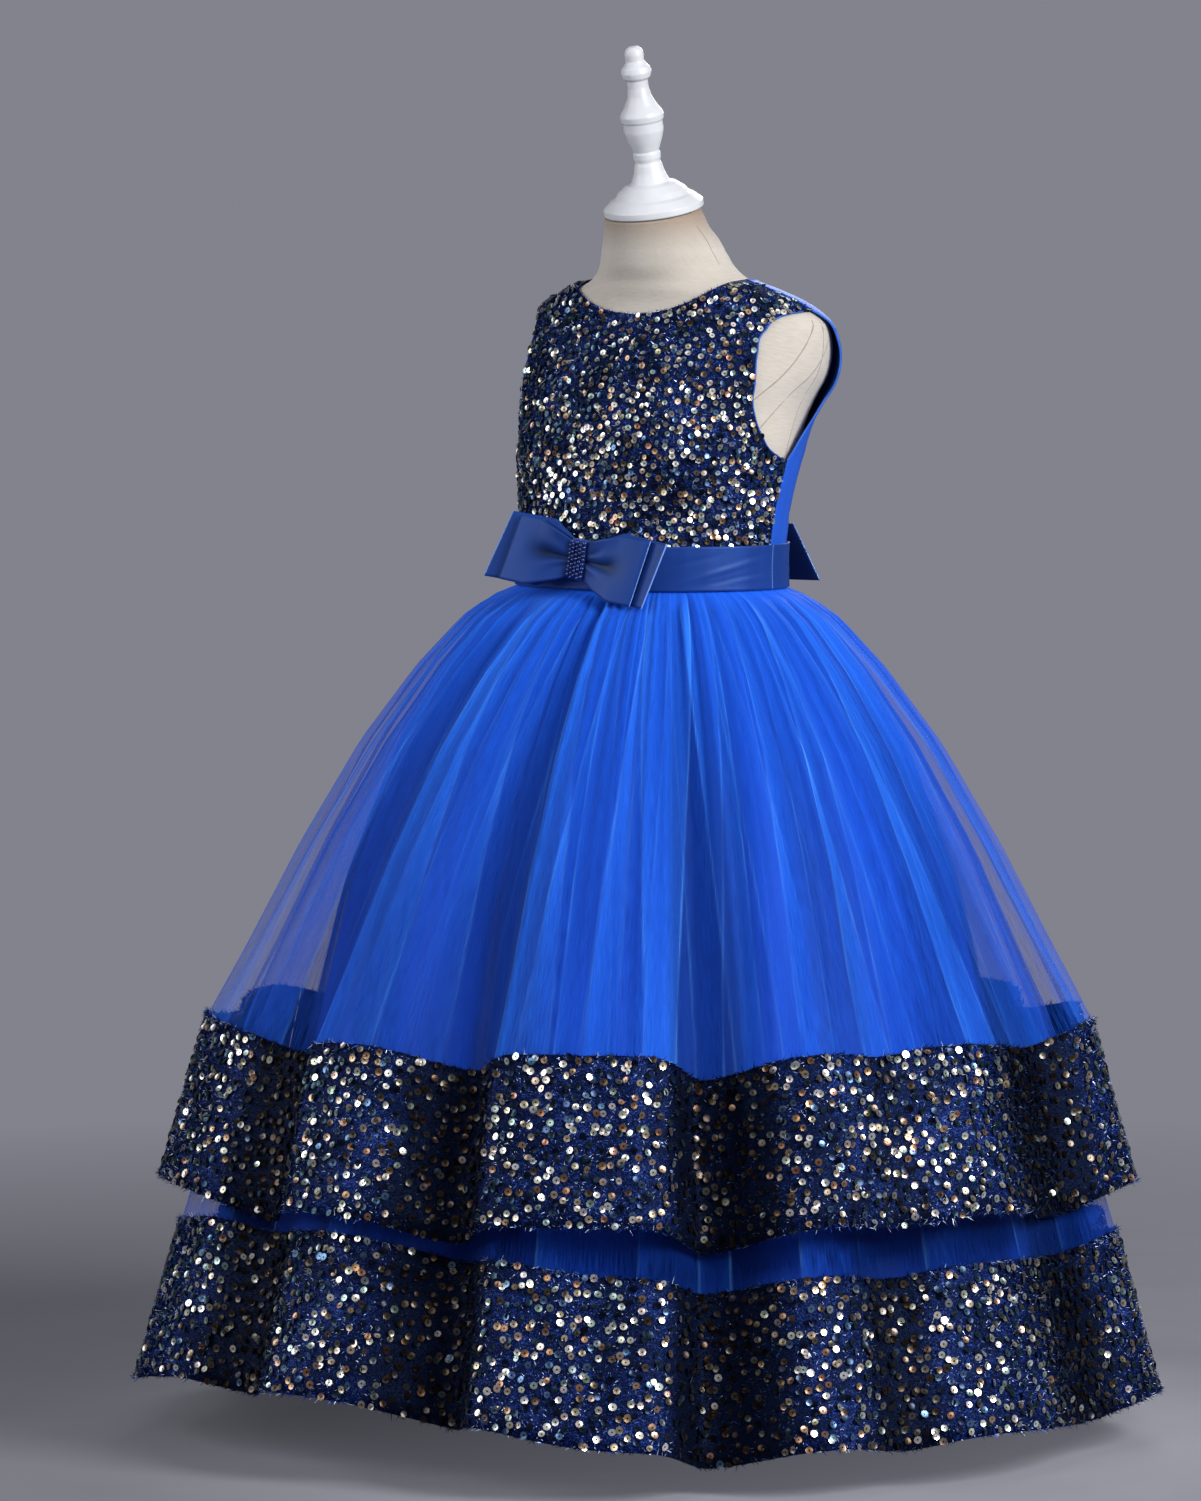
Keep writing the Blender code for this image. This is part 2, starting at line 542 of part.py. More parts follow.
def rod(name, radius, length, height, finish):
    """A cylinder along X, with its axis at this height."""
    bm = bmesh.new()
    turn = Matrix.Translation((0, 0, height)) @ Matrix.Rotation(math.pi / 2, 4, "Y")
    bmesh.ops.create_cone(bm, cap_ends=True, segments=16, radius1=radius, radius2=radius, depth=length, matrix=turn)
    mesh = bpy.data.meshes.new(name)
    bm.to_mesh(mesh)
    bm.free()
    return new_object(name, mesh, finish)


def combine(made, others, operation):
    for other in others:
        boolean = made.modifiers.new(other.name, "BOOLEAN")
        boolean.operation = operation
        boolean.object = other
        other.hide_render = True
        other.display_type = "WIRE"


def place_all(things, place):
    for thing in things:
        thing.matrix_world = place


def zip_slider(finish):
    """A plate over the top of the zip, with two ears and the pin that the tab hangs on."""
    body = box("zip_slider", SLIDER, (0, 0, SEAM + SLIDER[2] / 2), finish)
    ear_x, ear_z = (EAR_GAP + EAR[0]) / 2, SEAM + SLIDER[2] / 2 + EAR[2] / 2
    ears = [box(f"ear_{side}", EAR, (side * ear_x, 0, ear_z), finish) for side in (-1, 1)]
    pin = rod("pin", PIN_RADIUS, EAR_GAP + EAR[0], PIN_HEIGHT, finish)
    combine(body, [*ears, pin], "UNION")
    place_all([body, *ears, pin], zip_place())


def zip_pull(finish):
    """The tab: a flat drop with an eye round the pin. Its origin is on the hinge's axis."""
    outline = [(half * MM, y * MM) for y, half in PULL] + [(-half * MM, y * MM) for y, half in PULL[::-1]]
    bm = bmesh.new()
    lower = bm.faces.new([bm.verts.new((x, y, -PULL_THICK / 2)) for x, y in outline])
    raised = bmesh.ops.extrude_face_region(bm, geom=[lower])
    moved = [v for v in raised["geom"] if isinstance(v, bmesh.types.BMVert)]
    bmesh.ops.translate(bm, vec=(0, 0, PULL_THICK), verts=moved)
    bmesh.ops.recalc_face_normals(bm, faces=bm.faces)
    mesh = bpy.data.meshes.new("zip_pull")
    bm.to_mesh(mesh)
    bm.free()
    tab = new_object("zip_pull", mesh, finish)
    barrel = rod("barrel", BARREL_RADIUS, EAR_GAP - 2 * SEAM, 0, finish)
    eye = rod("eye", PIN_RADIUS + SEAM, EAR_GAP, 0, finish)
    combine(tab, [barrel], "UNION")
    combine(tab, [eye], "DIFFERENCE")
    hinge = zip_place() @ Matrix.Translation((0, 0, PIN_HEIGHT)) @ Matrix.Rotation(PULL_REST, 4, "X")
    place_all([tab, barrel, eye], hinge)


# ---------------------------------------------------------------- dress form and stand


def form_torso(finish):
    """The linen-covered figure: rings closed at the hips, and cut level with the cap at the neck."""
    heights = np.array(FORM_ROWS) * CM
    in_bodice = heights < (NECK_POINT + 0.1) * CM
    inside = np.where(in_bodice, SEQUIN_CLOTH + figure(heights, "ease_mm") * MM, 0)
    angles = np.radians(np.arange(0, 360, 10))[None, :]
    grid = figure_points(angles, heights[:, None], -inside[:, None])
    mesh = grid_mesh("form_torso", grid, ring_columns=True)
    made = new_object("form_torso", mesh, finish)
    edit(mesh, lambda bm: bmesh.ops.holes_fill(bm, edges=[e for e in bm.edges if e.is_boundary]))
    normal = Vector((0, -math.sin(NECK_TILT), math.cos(NECK_TILT)))
    cut(made, NECK_TOP, -normal)
    cut(made, (0, 0, FORM_BOTTOM), (0, 0, 1))
    return made


def neck_cap(finish):
    made = turned("form_neck_cap", CAP, finish, 20)
    normal = Vector((0, -math.sin(NECK_TILT), math.cos(NECK_TILT)))
    made.matrix_world = Matrix.Translation(NECK_TOP + normal * SEAM) @ Matrix.Rotation(NECK_TILT, 4, "X")
    return made


def stand(paint):
    hub_top, hub_radius = 3.6, 2.6
    rim, thick = BASE_RADIUS / CM, BASE_THICK / CM
    base = ((hub_top, 0), (hub_top, hub_radius - 0.2), (hub_top - 0.2, hub_radius), (thick + 0.3, hub_radius + 0.3),
            (thick, hub_radius + 1.0), (thick - 0.2, rim - 0.6), (thick - 0.6, rim), (0, rim), (0, 0))
    turned("form_base", base, paint, 32)
    top, bottom, radius = FORM_BOTTOM / CM - SEAM / CM, hub_top + SEAM / CM, POLE_RADIUS / CM
    turned("form_pole", ((top, 0), (top, radius), (bottom, radius), (bottom, 0)), paint, 24)


# ---------------------------------------------------------------- the whole


def main():
    for thing in list(bpy.data.objects):
        bpy.data.objects.remove(thing)
    sequin_cloth = material("navy_sequin_cloth", (0.012, 0.022, 0.085), 0.35)
    satin = material("royal_satin", (0.015, 0.085, 0.45), 0.3)
    ribbon = material("navy_satin", (0.012, 0.035, 0.16), 0.35)
    tulle = material("royal_tulle", (0.01, 0.08, 0.62), 0.6)
    linen = material("cream_linen", (0.60, 0.54, 0.46), 0.85)
    paint = material("white_paint", (0.82, 0.83, 0.85), 0.35)
    enamel = material("blue_enamel", (0.01, 0.03, 0.14), 0.3, 0.6)

    bodice_front(sequin_cloth)
    bodice_back("bodice_back_left", 1, satin)
    bodice_back("bodice_back_right", -1, satin)
    belt("belt_front", -90, 90, ribbon)
    belt("belt_back_left", 90, 180, ribbon)
    belt("belt_back_right", 180, 270, ribbon)
    bows(ribbon)
    zip_slider(enamel)
    zip_pull(enamel)
    skirts(satin, tulle, sequin_cloth)
    form_torso(linen)
    neck_cap(paint)
    stand(paint)


main()
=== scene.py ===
# %% [markdown]
# # A girl's ball gown on its dress form
#
# The gown has a sequined bodice front, a satin back with a concealed zip, a ribbon belt with two bows,
# an opaque satin underskirt and two tiers of tulle, each ending in a wide sequin band. Every piece here is
# one surface worked out with numpy, on the same tables of sizes as the solids that it stands for.
# Metres, +Z up: the gown faces -Y and the wearer's left is +X. Tables are in centimetres.

# %% Load the imported frame and group its parts into bodies
import json
import math

import bmesh
import bpy
import numpy as np
from mathutils import Matrix, Vector

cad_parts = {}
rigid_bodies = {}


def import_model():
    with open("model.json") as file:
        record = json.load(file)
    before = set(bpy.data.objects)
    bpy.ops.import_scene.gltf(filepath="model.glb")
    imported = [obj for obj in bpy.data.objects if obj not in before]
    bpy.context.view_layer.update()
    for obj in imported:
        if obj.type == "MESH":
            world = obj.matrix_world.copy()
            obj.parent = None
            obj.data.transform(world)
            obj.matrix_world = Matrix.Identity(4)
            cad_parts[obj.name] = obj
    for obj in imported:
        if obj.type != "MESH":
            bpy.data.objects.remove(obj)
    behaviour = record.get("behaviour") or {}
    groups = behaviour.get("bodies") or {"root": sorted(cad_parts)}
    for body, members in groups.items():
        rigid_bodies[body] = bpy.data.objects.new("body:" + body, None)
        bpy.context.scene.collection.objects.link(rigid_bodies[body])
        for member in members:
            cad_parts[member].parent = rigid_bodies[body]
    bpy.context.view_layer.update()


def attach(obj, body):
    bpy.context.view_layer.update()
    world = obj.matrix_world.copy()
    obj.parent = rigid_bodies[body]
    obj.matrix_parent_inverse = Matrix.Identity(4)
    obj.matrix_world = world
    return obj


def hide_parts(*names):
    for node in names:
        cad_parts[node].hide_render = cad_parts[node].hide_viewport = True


for thing in list(bpy.data.objects):
    bpy.data.objects.remove(thing)
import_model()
GOWN = "gown_and_form"

# %% [markdown]
# ## Driving sizes
#
# The figure is a stack of ovals. Each row gives a height, the oval's half width, where its sides, front and back
# lie in y, and how far the form's linen lies inside the bodice. The skirts hang from the waist seam, and each row
# of their outlines says how far the cloth stands out at a drop below it.

# %% The figure and the openings of the bodice
CM, MM = 0.01, 0.001
SEAM = 0.3 * MM
HALF_SEAM_TURN = SEAM / 2 / (10 * CM)  # half a seam's gap as an angle, at 10 cm from the axis
SEQUIN_CLOTH, SATIN, TULLE, RIBBON = 2.0 * MM, 1.2 * MM, 1.0 * MM, 1.0 * MM
WAIST_SEAM, BELT_BOTTOM, BELT_TOP, BELT_OUT = 0.7205, 0.7165, 0.754, 1.6 * MM

FIGURE_COLUMNS = ("height", "half_width", "side_y", "front_y", "back_y", "ease_mm")
FIGURE = (
    (60.0, 13.6, 0.3, -10.9, 11.6, 6.0),
    (64.5, 13.3, 0.3, -10.8, 11.4, 6.0),
    (68.5, 12.4, 0.1, -10.2, 10.4, 5.0),
    (71.5, 12.0, 0.0, -9.9, 9.9, 4.5),
    (75.2, 11.9, 0.2, -9.8, 9.9, 4.5),
    (78.6, 12.2, 0.6, -9.4, 10.2, 4.0),
    (82.2, 12.8, 1.3, -9.0, 11.1, 4.0),
    (85.6, 13.3, 2.5, -8.3, 12.4, 4.0),
    (87.4, 13.8, 3.2, -7.6, 13.2, 3.5),
    (89.0, 14.5, 3.9, -6.6, 13.7, 3.0),
    (90.7, 14.85, 4.3, -5.5, 13.8, 2.4),
    (92.5, 14.85, 4.4, -4.4, 13.2, 1.6),
    (94.1, 14.4, 4.3, -3.2, 12.0, 1.0),
    (95.0, 13.5, 4.1, -2.9, 11.0, 0.9),
    (95.8, 12.2, 3.8, -2.8, 10.1, 0.9),
    (96.7, 10.0, 3.5, -2.9, 9.1, 0.9),
    (97.6, 7.5, 3.2, -3.0, 8.1, 1.0),
    (98.4, 6.2, 2.6, -3.1, 7.4, 0.0),
    (99.6, 5.5, 2.0, -3.3, 6.8, 0.0),
    (100.8, 5.0, 1.5, -3.5, 6.2, 0.0),
    (102.4, 4.3, 0.5, -3.8, 4.8, 0.0),
    (105.5, 4.1, -0.3, -4.3, 3.7, 0.0),
)
# Necks: height and half width of the opening. Armhole: its two edges' angles from the front, at each height.
FRONT_NECK = ((94.6, 0.0), (94.75, 2.0), (95.05, 3.5), (95.8, 5.5), (96.75, 6.9), (97.2, 7.25), (97.6, 7.5))
BACK_NECK = ((96.9, 0.0), (96.98, 2.6), (97.1, 4.9), (97.25, 6.4), (97.42, 7.2), (97.6, 7.5))
ARMHOLE_COLUMNS = ("height", "front_degrees", "back_degrees")
ARMHOLE = (
    (82.4, 88, 90), (83.2, 78, 92), (84.6, 69.5, 95), (86.6, 61.5, 99), (89.0, 55, 101), (91.5, 51.5, 100.5),
    (93.4, 53, 98), (94.4, 60, 95), (94.75, 67, 92.5), (94.9, 73, 91.5), (95.0, 81, 90.5),
)
GAPE, GAPE_REACH = 5 * MM, math.radians(8)
WAIST_ROW, NECK_POINT = 72.08, 97.6

# %% The skirts' outlines, folds and gathers
# Each outline: drop below the waist seam, and spread.
UPPER_SKIRT = ((0.0, 0.0), (0.5, 0.0), (1.2, 1.7), (2.9, 4.1), (7.0, 8.0), (13.3, 12.8), (21.9, 18.0),
               (30.5, 22.6), (36.4, 25.9), (49.9, 29.8))
LOWER_SKIRT = ((0.0, 0.0), (0.62, 0.0), (1.2, 1.2), (2.9, 3.1), (7.0, 6.6), (13.3, 11.1), (21.9, 16.0),
               (36.4, 22.7), (49.9, 27.0), (54.2, 28.3), (67.7, 32.1))
UNDERSKIRT = ((0.0, 0.0), (0.74, 0.0), (1.2, 0.7), (2.9, 2.5), (7.0, 5.9), (13.3, 10.1), (25.0, 14.7),
              (38.0, 17.9), (52.0, 20.4), (63.2, 22.2))
UPPER_BAND_DROP, UPPER_HEM_DROP = 36.4, 49.9
LOWER_BAND_DROP, LOWER_HEM_DROP = 54.2, 67.7
UNDERSKIRT_HEM_DROP = 63.2
LIFT_DEGREES, LIFT_REACH, LIFT = -11, 31, 0.046  # the lower tier rides up by LIFT of its drop round this angle
WAIST_WIDTH, WAIST_DEPTH, DEPTH_GROWTH = 12.0 * CM, 9.9 * CM, 1.08
UNDERSKIRT_OUT = -2.9 * MM
LOWER_OUT = UNDERSKIRT_OUT + SATIN + SEAM
UPPER_OUT = LOWER_OUT + TULLE + SEAM

FOLD_COLUMNS = ("degrees", "left", "right", "upper_depth", "lower_depth", "lining_depth")
FOLDS = (
    (-66, 10, 10, 2.6, 3.0, 1.4),
    (-21, 7.5, 6.5, 3.6, 3.8, 1.6),
    (9.5, 7.5, 4, 4.2, 4.8, 1.4),
    (40.5, 3.5, 8, 5.6, 5.2, 1.8),
    (64, 6, 5, 1.4, 2.4, 1.2),
    (96, 13, 6.5, 3.4, 2.4, 1.4),
    (124, 8, 9, 3.0, 3.6, 1.6),
    (149, 9, 6, 3.6, 4.0, 1.3),
    (176, 6, 9, 3.0, 3.4, 1.7),
    (204, 9, 6, 3.8, 4.2, 1.4),
    (233, 7, 9, 2.8, 3.4, 1.6),
    (263, 9, 7, 3.4, 3.8, 1.5),
)
FOLD_GROWTH = 1.3  # a fold deepens as this power of the share of the outline's length

# %% [markdown]
# ## Shapes from arrays
#
# A surface is a grid of points with rows going up and columns going round, seen from outside, so its faces
# look outwards. Blender takes whole arrays with `foreach_set`, which is quick, and each grid also carries a UV
# map in metres along the cloth. A weave drawn on those UVs then has its real size, and follows the cloth.

# %% Helpers that put arrays into meshes
def unit(vectors):
    """Vectors of length 1 that point the same way."""
    return vectors / np.linalg.norm(vectors, axis=-1, keepdims=True)


def put_mesh(name, points, faces, uv=None):
    """A mesh object from points (n, 3) and faces (m, sides), with each point's uv (n, 2) in metres."""
    mesh = bpy.data.meshes.new(name)
    mesh.vertices.add(len(points))
    mesh.vertices.foreach_set("co", np.ascontiguousarray(points, np.float32).ravel())
    mesh.loops.add(faces.size)
    mesh.loops.foreach_set("vertex_index", faces.astype(np.int32).ravel())
    mesh.polygons.add(len(faces))
    mesh.polygons.foreach_set("loop_start", np.arange(0, faces.size, faces.shape[1], dtype=np.int32))
    mesh.update(calc_edges=True)
    if uv is not None:
        layer = mesh.uv_layers.new(name="cloth")
        layer.uv.foreach_set("vector", np.ascontiguousarray(uv[faces.ravel()], np.float32).ravel())
    mesh.shade_smooth()
    made = bpy.data.objects.new(name, mesh)
    bpy.context.scene.collection.objects.link(made)
    return made


def grid_faces(rows, columns):
    """Quads between neighbouring rows and columns."""
    index = np.arange(rows * columns).reshape(rows, columns)
    return np.stack([index[:-1, :-1], index[:-1, 1:], index[1:, 1:], index[1:, :-1]], axis=-1).reshape(-1, 4)


def lengths(points, axis):
    """The distance travelled along one axis of a grid, starting from 0."""
    steps = np.linalg.norm(np.diff(points, axis=axis), axis=-1)
    start = np.zeros_like(np.take(steps, [0], axis=axis))
    return np.concatenate([start, np.cumsum(steps, axis=axis)], axis=axis)


def cloth_uv(grid):
    """UVs in metres: across along the middle row, up along each column."""
    middle = lengths(grid, 1)[grid.shape[0] // 2]
    up = lengths(grid, 0)
    return np.stack([np.broadcast_to(middle[None, :], up.shape), up], axis=-1)


def attribute(made, name, values):
    """One number for each point, which a material reads by name."""
    layer = made.data.attributes.new(name, "FLOAT", "POINT")
    layer.data.foreach_set("value", np.ascontiguousarray(values, np.float32).ravel())


def finish_piece(made, finish, nodes=()):
    """Gives a piece its material and its body, and hides the solids that it stands for."""
    made.data.materials.append(finish)
    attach(made, GOWN)
    if nodes:
        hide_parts(*nodes)
    return made


def joined_grids(name, grids, finish, nodes=(), thickness=0.0, offset=1.0):
    """One piece from grids of points (rows, columns, 3). With offset 1 its wall's thickness goes outwards."""
    starts = np.cumsum([0] + [grid.shape[0] * grid.shape[1] for grid in grids])
    faces = [grid_faces(*grid.shape[:2]) + start for grid, start in zip(grids, starts)]
    made = put_mesh(name, np.concatenate([grid.reshape(-1, 3) for grid in grids]), np.concatenate(faces),
                    np.concatenate([cloth_uv(grid).reshape(-1, 2) for grid in grids]))
    if thickness:
        solid = made.modifiers.new("wall", "SOLIDIFY")
        solid.thickness, solid.offset, solid.use_even_offset = thickness, offset, True
    return finish_piece(made, finish, nodes)


def grid_piece(name, grid, finish, nodes=(), thickness=0.0, offset=1.0):
    """One piece from one grid."""
    return joined_grids(name, [grid], finish, nodes, thickness, offset)


def close_seams(made):
    """Points that coincide become one, so that mirrored halves, rings and poles are closed."""
    bm = bmesh.new()
    bm.from_mesh(made.data)
    bmesh.ops.remove_doubles(bm, verts=bm.verts, dist=1e-6)
    bm.to_mesh(made.data)
    bm.free()


# %% Curves through table rows, and the figure's surface
def smooth(xs, ys, x):
    """The cubic Hermite curve through the points (xs, ys), read at x. Its slopes are the neighbours'."""
    xs, ys = np.asarray(xs, float), np.asarray(ys, float)
    slope = np.gradient(ys, xs)
    x = np.clip(x, xs[0], xs[-1])
    i = np.clip(np.searchsorted(xs, x, side="right") - 1, 0, len(xs) - 2)
    step = xs[i + 1] - xs[i]
    t = (x - xs[i]) / step
    rise = ys[i] + (ys[i + 1] - ys[i]) * t * t * (3 - 2 * t)
    return rise + step * t * (1 - t) * (slope[i] * (1 - t) - slope[i + 1] * t)


def step_between(low, high, x):
    """0 below low, 1 above high, and a smooth rise between them."""
    t = np.clip((x - low) / (high - low), 0, 1)
    return t * t * (3 - 2 * t)


def figure(height, column):
    """One column of the figure's table, in centimetres, read at a height in metres."""
    table = np.array(FIGURE)
    return smooth(table[:, 0] * CM, table[:, FIGURE_COLUMNS.index(column)], height)


def figure_surface(angle, height):
    """An oval at each height: across is half_width sin(angle), and front and back have depths of their own."""
    side = figure(height, "side_y")
    depth = np.where(np.cos(angle) > 0, side - figure(height, "front_y"), figure(height, "back_y") - side)
    across = figure(height, "half_width") * np.sin(angle)
    return np.stack([across * CM, (side - depth * np.cos(angle)) * CM, height + 0 * angle], axis=-1)


def figure_points(angle, height, out):
    """Points `out` metres outside the figure's surface, along its normal."""
    angle, height, out = np.broadcast_arrays(angle, height, out)
    step = 1e-4
    round_body = figure_surface(angle + step, height) - figure_surface(angle - step, height)
    up_body = figure_surface(angle, height + step) - figure_surface(angle, height - step)
    return figure_surface(angle, height) + unit(np.cross(round_body, up_body)) * out[..., None]


def armhole_edge(heights, column):
    """The angle of the armhole's edge, or 90 degrees where the side or shoulder seam is the edge."""
    table = np.array(ARMHOLE, float)
    edge = smooth(table[:, 0] * CM, table[:, ARMHOLE_COLUMNS.index(column)], heights)
    inside = (heights >= table[0, 0] * CM) & (heights <= table[-1, 0] * CM)
    return np.radians(np.where(inside, edge, 90))


def neck_edge(heights, opening):
    """The angle of the neck's edge, measured from the middle: 0 below the opening's lowest point."""
    table = np.array(opening)
    half = np.interp(heights, table[:, 0] * CM, table[:, 1])
    return np.arcsin(np.clip(half / figure(heights, "half_width"), 0, 1))


# %% [markdown]
# ## Materials
#
# Each finish is a Principled shader with small node patterns. On cloth the patterns read the UV map in
# metres, so a thread is a thread wide on every piece. Blender's wave texture makes threads, and noise
# stretched along one direction makes the faint streaks of satin.

# %% Helpers for shader nodes
BLACK, WHITE = (0, 0, 0), (1, 1, 1)


def feed(tree, node, inputs):
    """Sets a node's inputs by name or place: another node's output is linked, and a number or colour is set."""
    for key, value in inputs.items():
        if isinstance(value, bpy.types.NodeSocket):
            tree.links.new(value, node.inputs[key])
        else:
            node.inputs[key].default_value = value
    return node


def add_node(tree, kind, inputs=None, **settings):
    """A node of this kind, with its settings and its inputs."""
    node = tree.nodes.new(kind)
    for key, value in settings.items():
        setattr(node, key, value)
    return feed(tree, node, inputs or {})


def new_material(name, colour, roughness, metallic=0.0, sheen=0.0):
    """A material, its node tree and its Principled shader."""
    made = bpy.data.materials.new(name)
    made.use_nodes = True
    shader = made.node_tree.nodes["Principled BSDF"]
    feed(made.node_tree, shader, {"Base Color": (*colour, 1), "Roughness": roughness, "Metallic": metallic,
                                  "Sheen Weight": sheen})
    return made, made.node_tree, shader


def place(tree, source, scale=(1, 1, 1), turn=0.0):
    """Coordinates for a pattern: `source` is UV or Object, and they are scaled and turned about z."""
    coordinates = add_node(tree, "ShaderNodeTexCoord").outputs[source]
    return add_node(tree, "ShaderNodeMapping", {"Vector": coordinates, "Scale": scale,
                                                "Rotation": (0, 0, turn)}).outputs["Vector"]


def noise(tree, vector, scale, detail=2.0, roughness=0.5):
    """Smooth noise about 0.5, with `scale` cells in each unit of the vector."""
    return add_node(tree, "ShaderNodeTexNoise", {"Vector": vector, "Scale": scale, "Detail": detail,
                                                 "Roughness": roughness}).outputs["Fac"]


def point_value(tree, name):
    """The number that each point of the mesh carries under this name."""
    return add_node(tree, "ShaderNodeAttribute", attribute_name=name).outputs["Fac"]


def edge_on(tree, blend):
    """0 where the surface faces the viewer, up to 1 where it is seen edge on."""
    return add_node(tree, "ShaderNodeLayerWeight", {"Blend": blend}).outputs["Facing"]


def math_node(tree, operation, first, second):
    """One sum of two values, each a number or another node's output."""
    return add_node(tree, "ShaderNodeMath", {0: first, 1: second}, operation=operation).outputs[0]


def total(tree, start, *parts):
    """start, plus value x weight for each (value, weight) of the parts."""
    for value, weight in parts:
        start = math_node(tree, "ADD", start, math_node(tree, "MULTIPLY", value, weight))
    return start


def ramp(tree, value, *stops):
    """A colour for each position from 0 to 1."""
    node = add_node(tree, "ShaderNodeValToRGB", {"Fac": value})
    elements = node.color_ramp.elements
    while len(elements) < len(stops):
        elements.new(0.5)
    for element, (position, colour) in zip(elements, stops):
        element.position = position
        element.color = (*colour, 1)
    return node.outputs["Color"]


def mix_colours(tree, factor, first, second):
    """A Mix node set to colours. Its colour sockets share names with its number sockets, so they go by place."""
    return add_node(tree, "ShaderNodeMix", {0: factor, 6: first, 7: second}, data_type="RGBA").outputs[2]


def darker_in_folds(made, share, dark):
    """Darkens the finish where its points lie deep in a fold, where neighbouring cloth keeps the light away."""
    tree = made.node_tree
    shader = tree.nodes["Principled BSDF"]
    colour = shader.inputs["Base Color"].links[0].from_socket
    deep = math_node(tree, "MULTIPLY", point_value(tree, "in_fold"), share)
    shaded = mix_colours(tree, deep, colour, (*dark, 1))
    feed(tree, shader, {"Base Color": shaded})
    return shaded


def bump(tree, shader, height, strength, distance):
    """Shades the surface as if it stood out by height x distance."""
    node = add_node(tree, "ShaderNodeBump", {"Height": height, "Strength": strength, "Distance": distance})
    feed(tree, shader, {"Normal": node.outputs["Normal"]})


def threads(tree, vector, pitch, turn):
    """Parallel threads: a sine wave with one crest in each pitch. A wave of scale 1 has a crest each 2 pi / 20."""
    turned = add_node(tree, "ShaderNodeVectorRotate", {"Vector": vector, "Angle": turn}, rotation_type="Z_AXIS")
    return add_node(tree, "ShaderNodeTexWave", {"Vector": turned.outputs[0], "Scale": 2 * math.pi / 20 / pitch,
                                                "Distortion": 1.2, "Detail": 1.0}).outputs["Fac"]


# %% Satin and tulle
SATIN_SHEEN, TULLE_SHEEN = (0.35, 0.55, 1, 1), (0.2, 0.45, 1, 1)


def satin_finish(name, dark, light, roughness, weave=0.25 * MM):
    """Smooth satin: fine warp threads, faint streaks along the cloth and a soft sheen."""
    made, tree, shader = new_material(name, light, roughness, sheen=0.1)
    uv = place(tree, "UV")
    streaks = noise(tree, place(tree, "UV", (60, 6, 1)), 1.0, 3.0)
    shade = total(tree, 0.0, (streaks, 0.6), (noise(tree, uv, 14.0, 2.0), 0.4))
    bump(tree, shader, total(tree, threads(tree, uv, weave, 0.0), (streaks, 2.0)), 0.12, 0.1 * MM)
    feed(tree, shader, {
        "Base Color": ramp(tree, shade, (0.25, dark), (0.75, light)),
        "Roughness": total(tree, roughness - 0.06, (streaks, 0.12)),
        "Sheen Tint": SATIN_SHEEN, "Specular IOR Level": 0.28, "Specular Tint": SATIN_SHEEN,
    })
    return made


def hazy_edge(made):
    """Lets light through where the cloth is seen edge on, as a loosely woven lining does at its outline."""
    tree = made.node_tree
    clear = ramp(tree, edge_on(tree, 0.5), (0.58, WHITE), (0.98, (0.04, 0.04, 0.04)))
    feed(tree, tree.nodes["Principled BSDF"], {"Alpha": clear})


COVER_OF_THREADS, COVER_OF_CLOUDS = 0.65, 0.1


def tulle_finish(name, colour, pale, base_cover, fold_shade):
    """Sheer net. It covers more where its points say it is gathered or doubled, and where it's seen edge on.

    Threads and clouds are noise about 0.5, so half of what they add is taken off the cover that it starts with.
    """
    made, tree, shader = new_material(name, colour, 0.6, sheen=0.25)
    doubled, hairline = point_value(tree, "doubled"), point_value(tree, "pleat_edge")
    threads_in_net = noise(tree, place(tree, "UV", (1100, 45, 1)), 1.0, 3.0)
    clouds = noise(tree, place(tree, "UV"), 5.0, 2.0)
    cover = total(tree, base_cover - 0.5 * (COVER_OF_THREADS + COVER_OF_CLOUDS), (edge_on(tree, 0.35), 0.24),
                  (doubled, 0.62), (point_value(tree, "gathered"), 0.5), (hairline, 0.34),
                  (threads_in_net, COVER_OF_THREADS), (clouds, COVER_OF_CLOUDS))
    tone = mix_colours(tree, math_node(tree, "MULTIPLY", doubled, 0.7), (*colour, 1), (*pale, 1))
    feed(tree, shader, {
        "Alpha": add_node(tree, "ShaderNodeClamp", {"Value": cover, "Min": 0.05, "Max": 0.96}).outputs[0],
        "Base Color": tone, "Sheen Tint": TULLE_SHEEN, "Specular IOR Level": 0.15, "Specular Tint": TULLE_SHEEN,
    })
    shaded = darker_in_folds(made, fold_shade, (0.001, 0.022, 0.20))
    feed(tree, shader, {"Base Color": mix_colours(tree, hairline, shaded, (0.12, 0.42, 1, 1))})
    return made


# %% Sequin cloth: its net, its foil and its glitter yarn
def sequin_base_finish(name):
    """The net and glitter yarn under the sequins: nearly black, with fine blue grains in slow patches. The palest
    grains are painted glints of the yarn.
    """
    made, tree, shader = new_material(name, (0.003, 0.01, 0.07), 0.6)
    uv = place(tree, "UV")
    grain = total(tree, noise(tree, uv, 620.0, 3.0, 0.7), (noise(tree, uv, 160.0), 0.3))
    tone = total(tree, math_node(tree, "SUBTRACT", grain, 0.2), (noise(tree, uv, 20.0, 2.0), 0.4))
    bump(tree, shader, grain, 0.9, 0.8 * MM)
    # The ramp's palest stop paints glints of the glitter yarn into the net's colour.
    feed(tree, shader, {
        "Base Color": ramp(tree, tone, (0.60, (0.0005, 0.0008, 0.005)), (0.70, (0.0024, 0.007, 0.05)),
                           (0.79, (0.014, 0.040, 0.24)), (0.90, (0.10, 0.15, 0.38))),
        "Specular Tint": (0.2, 0.35, 1, 1), "Specular IOR Level": 0.35,
    })
    darker_in_folds(made, 0.96, (0.0004, 0.0006, 0.003))
    return made


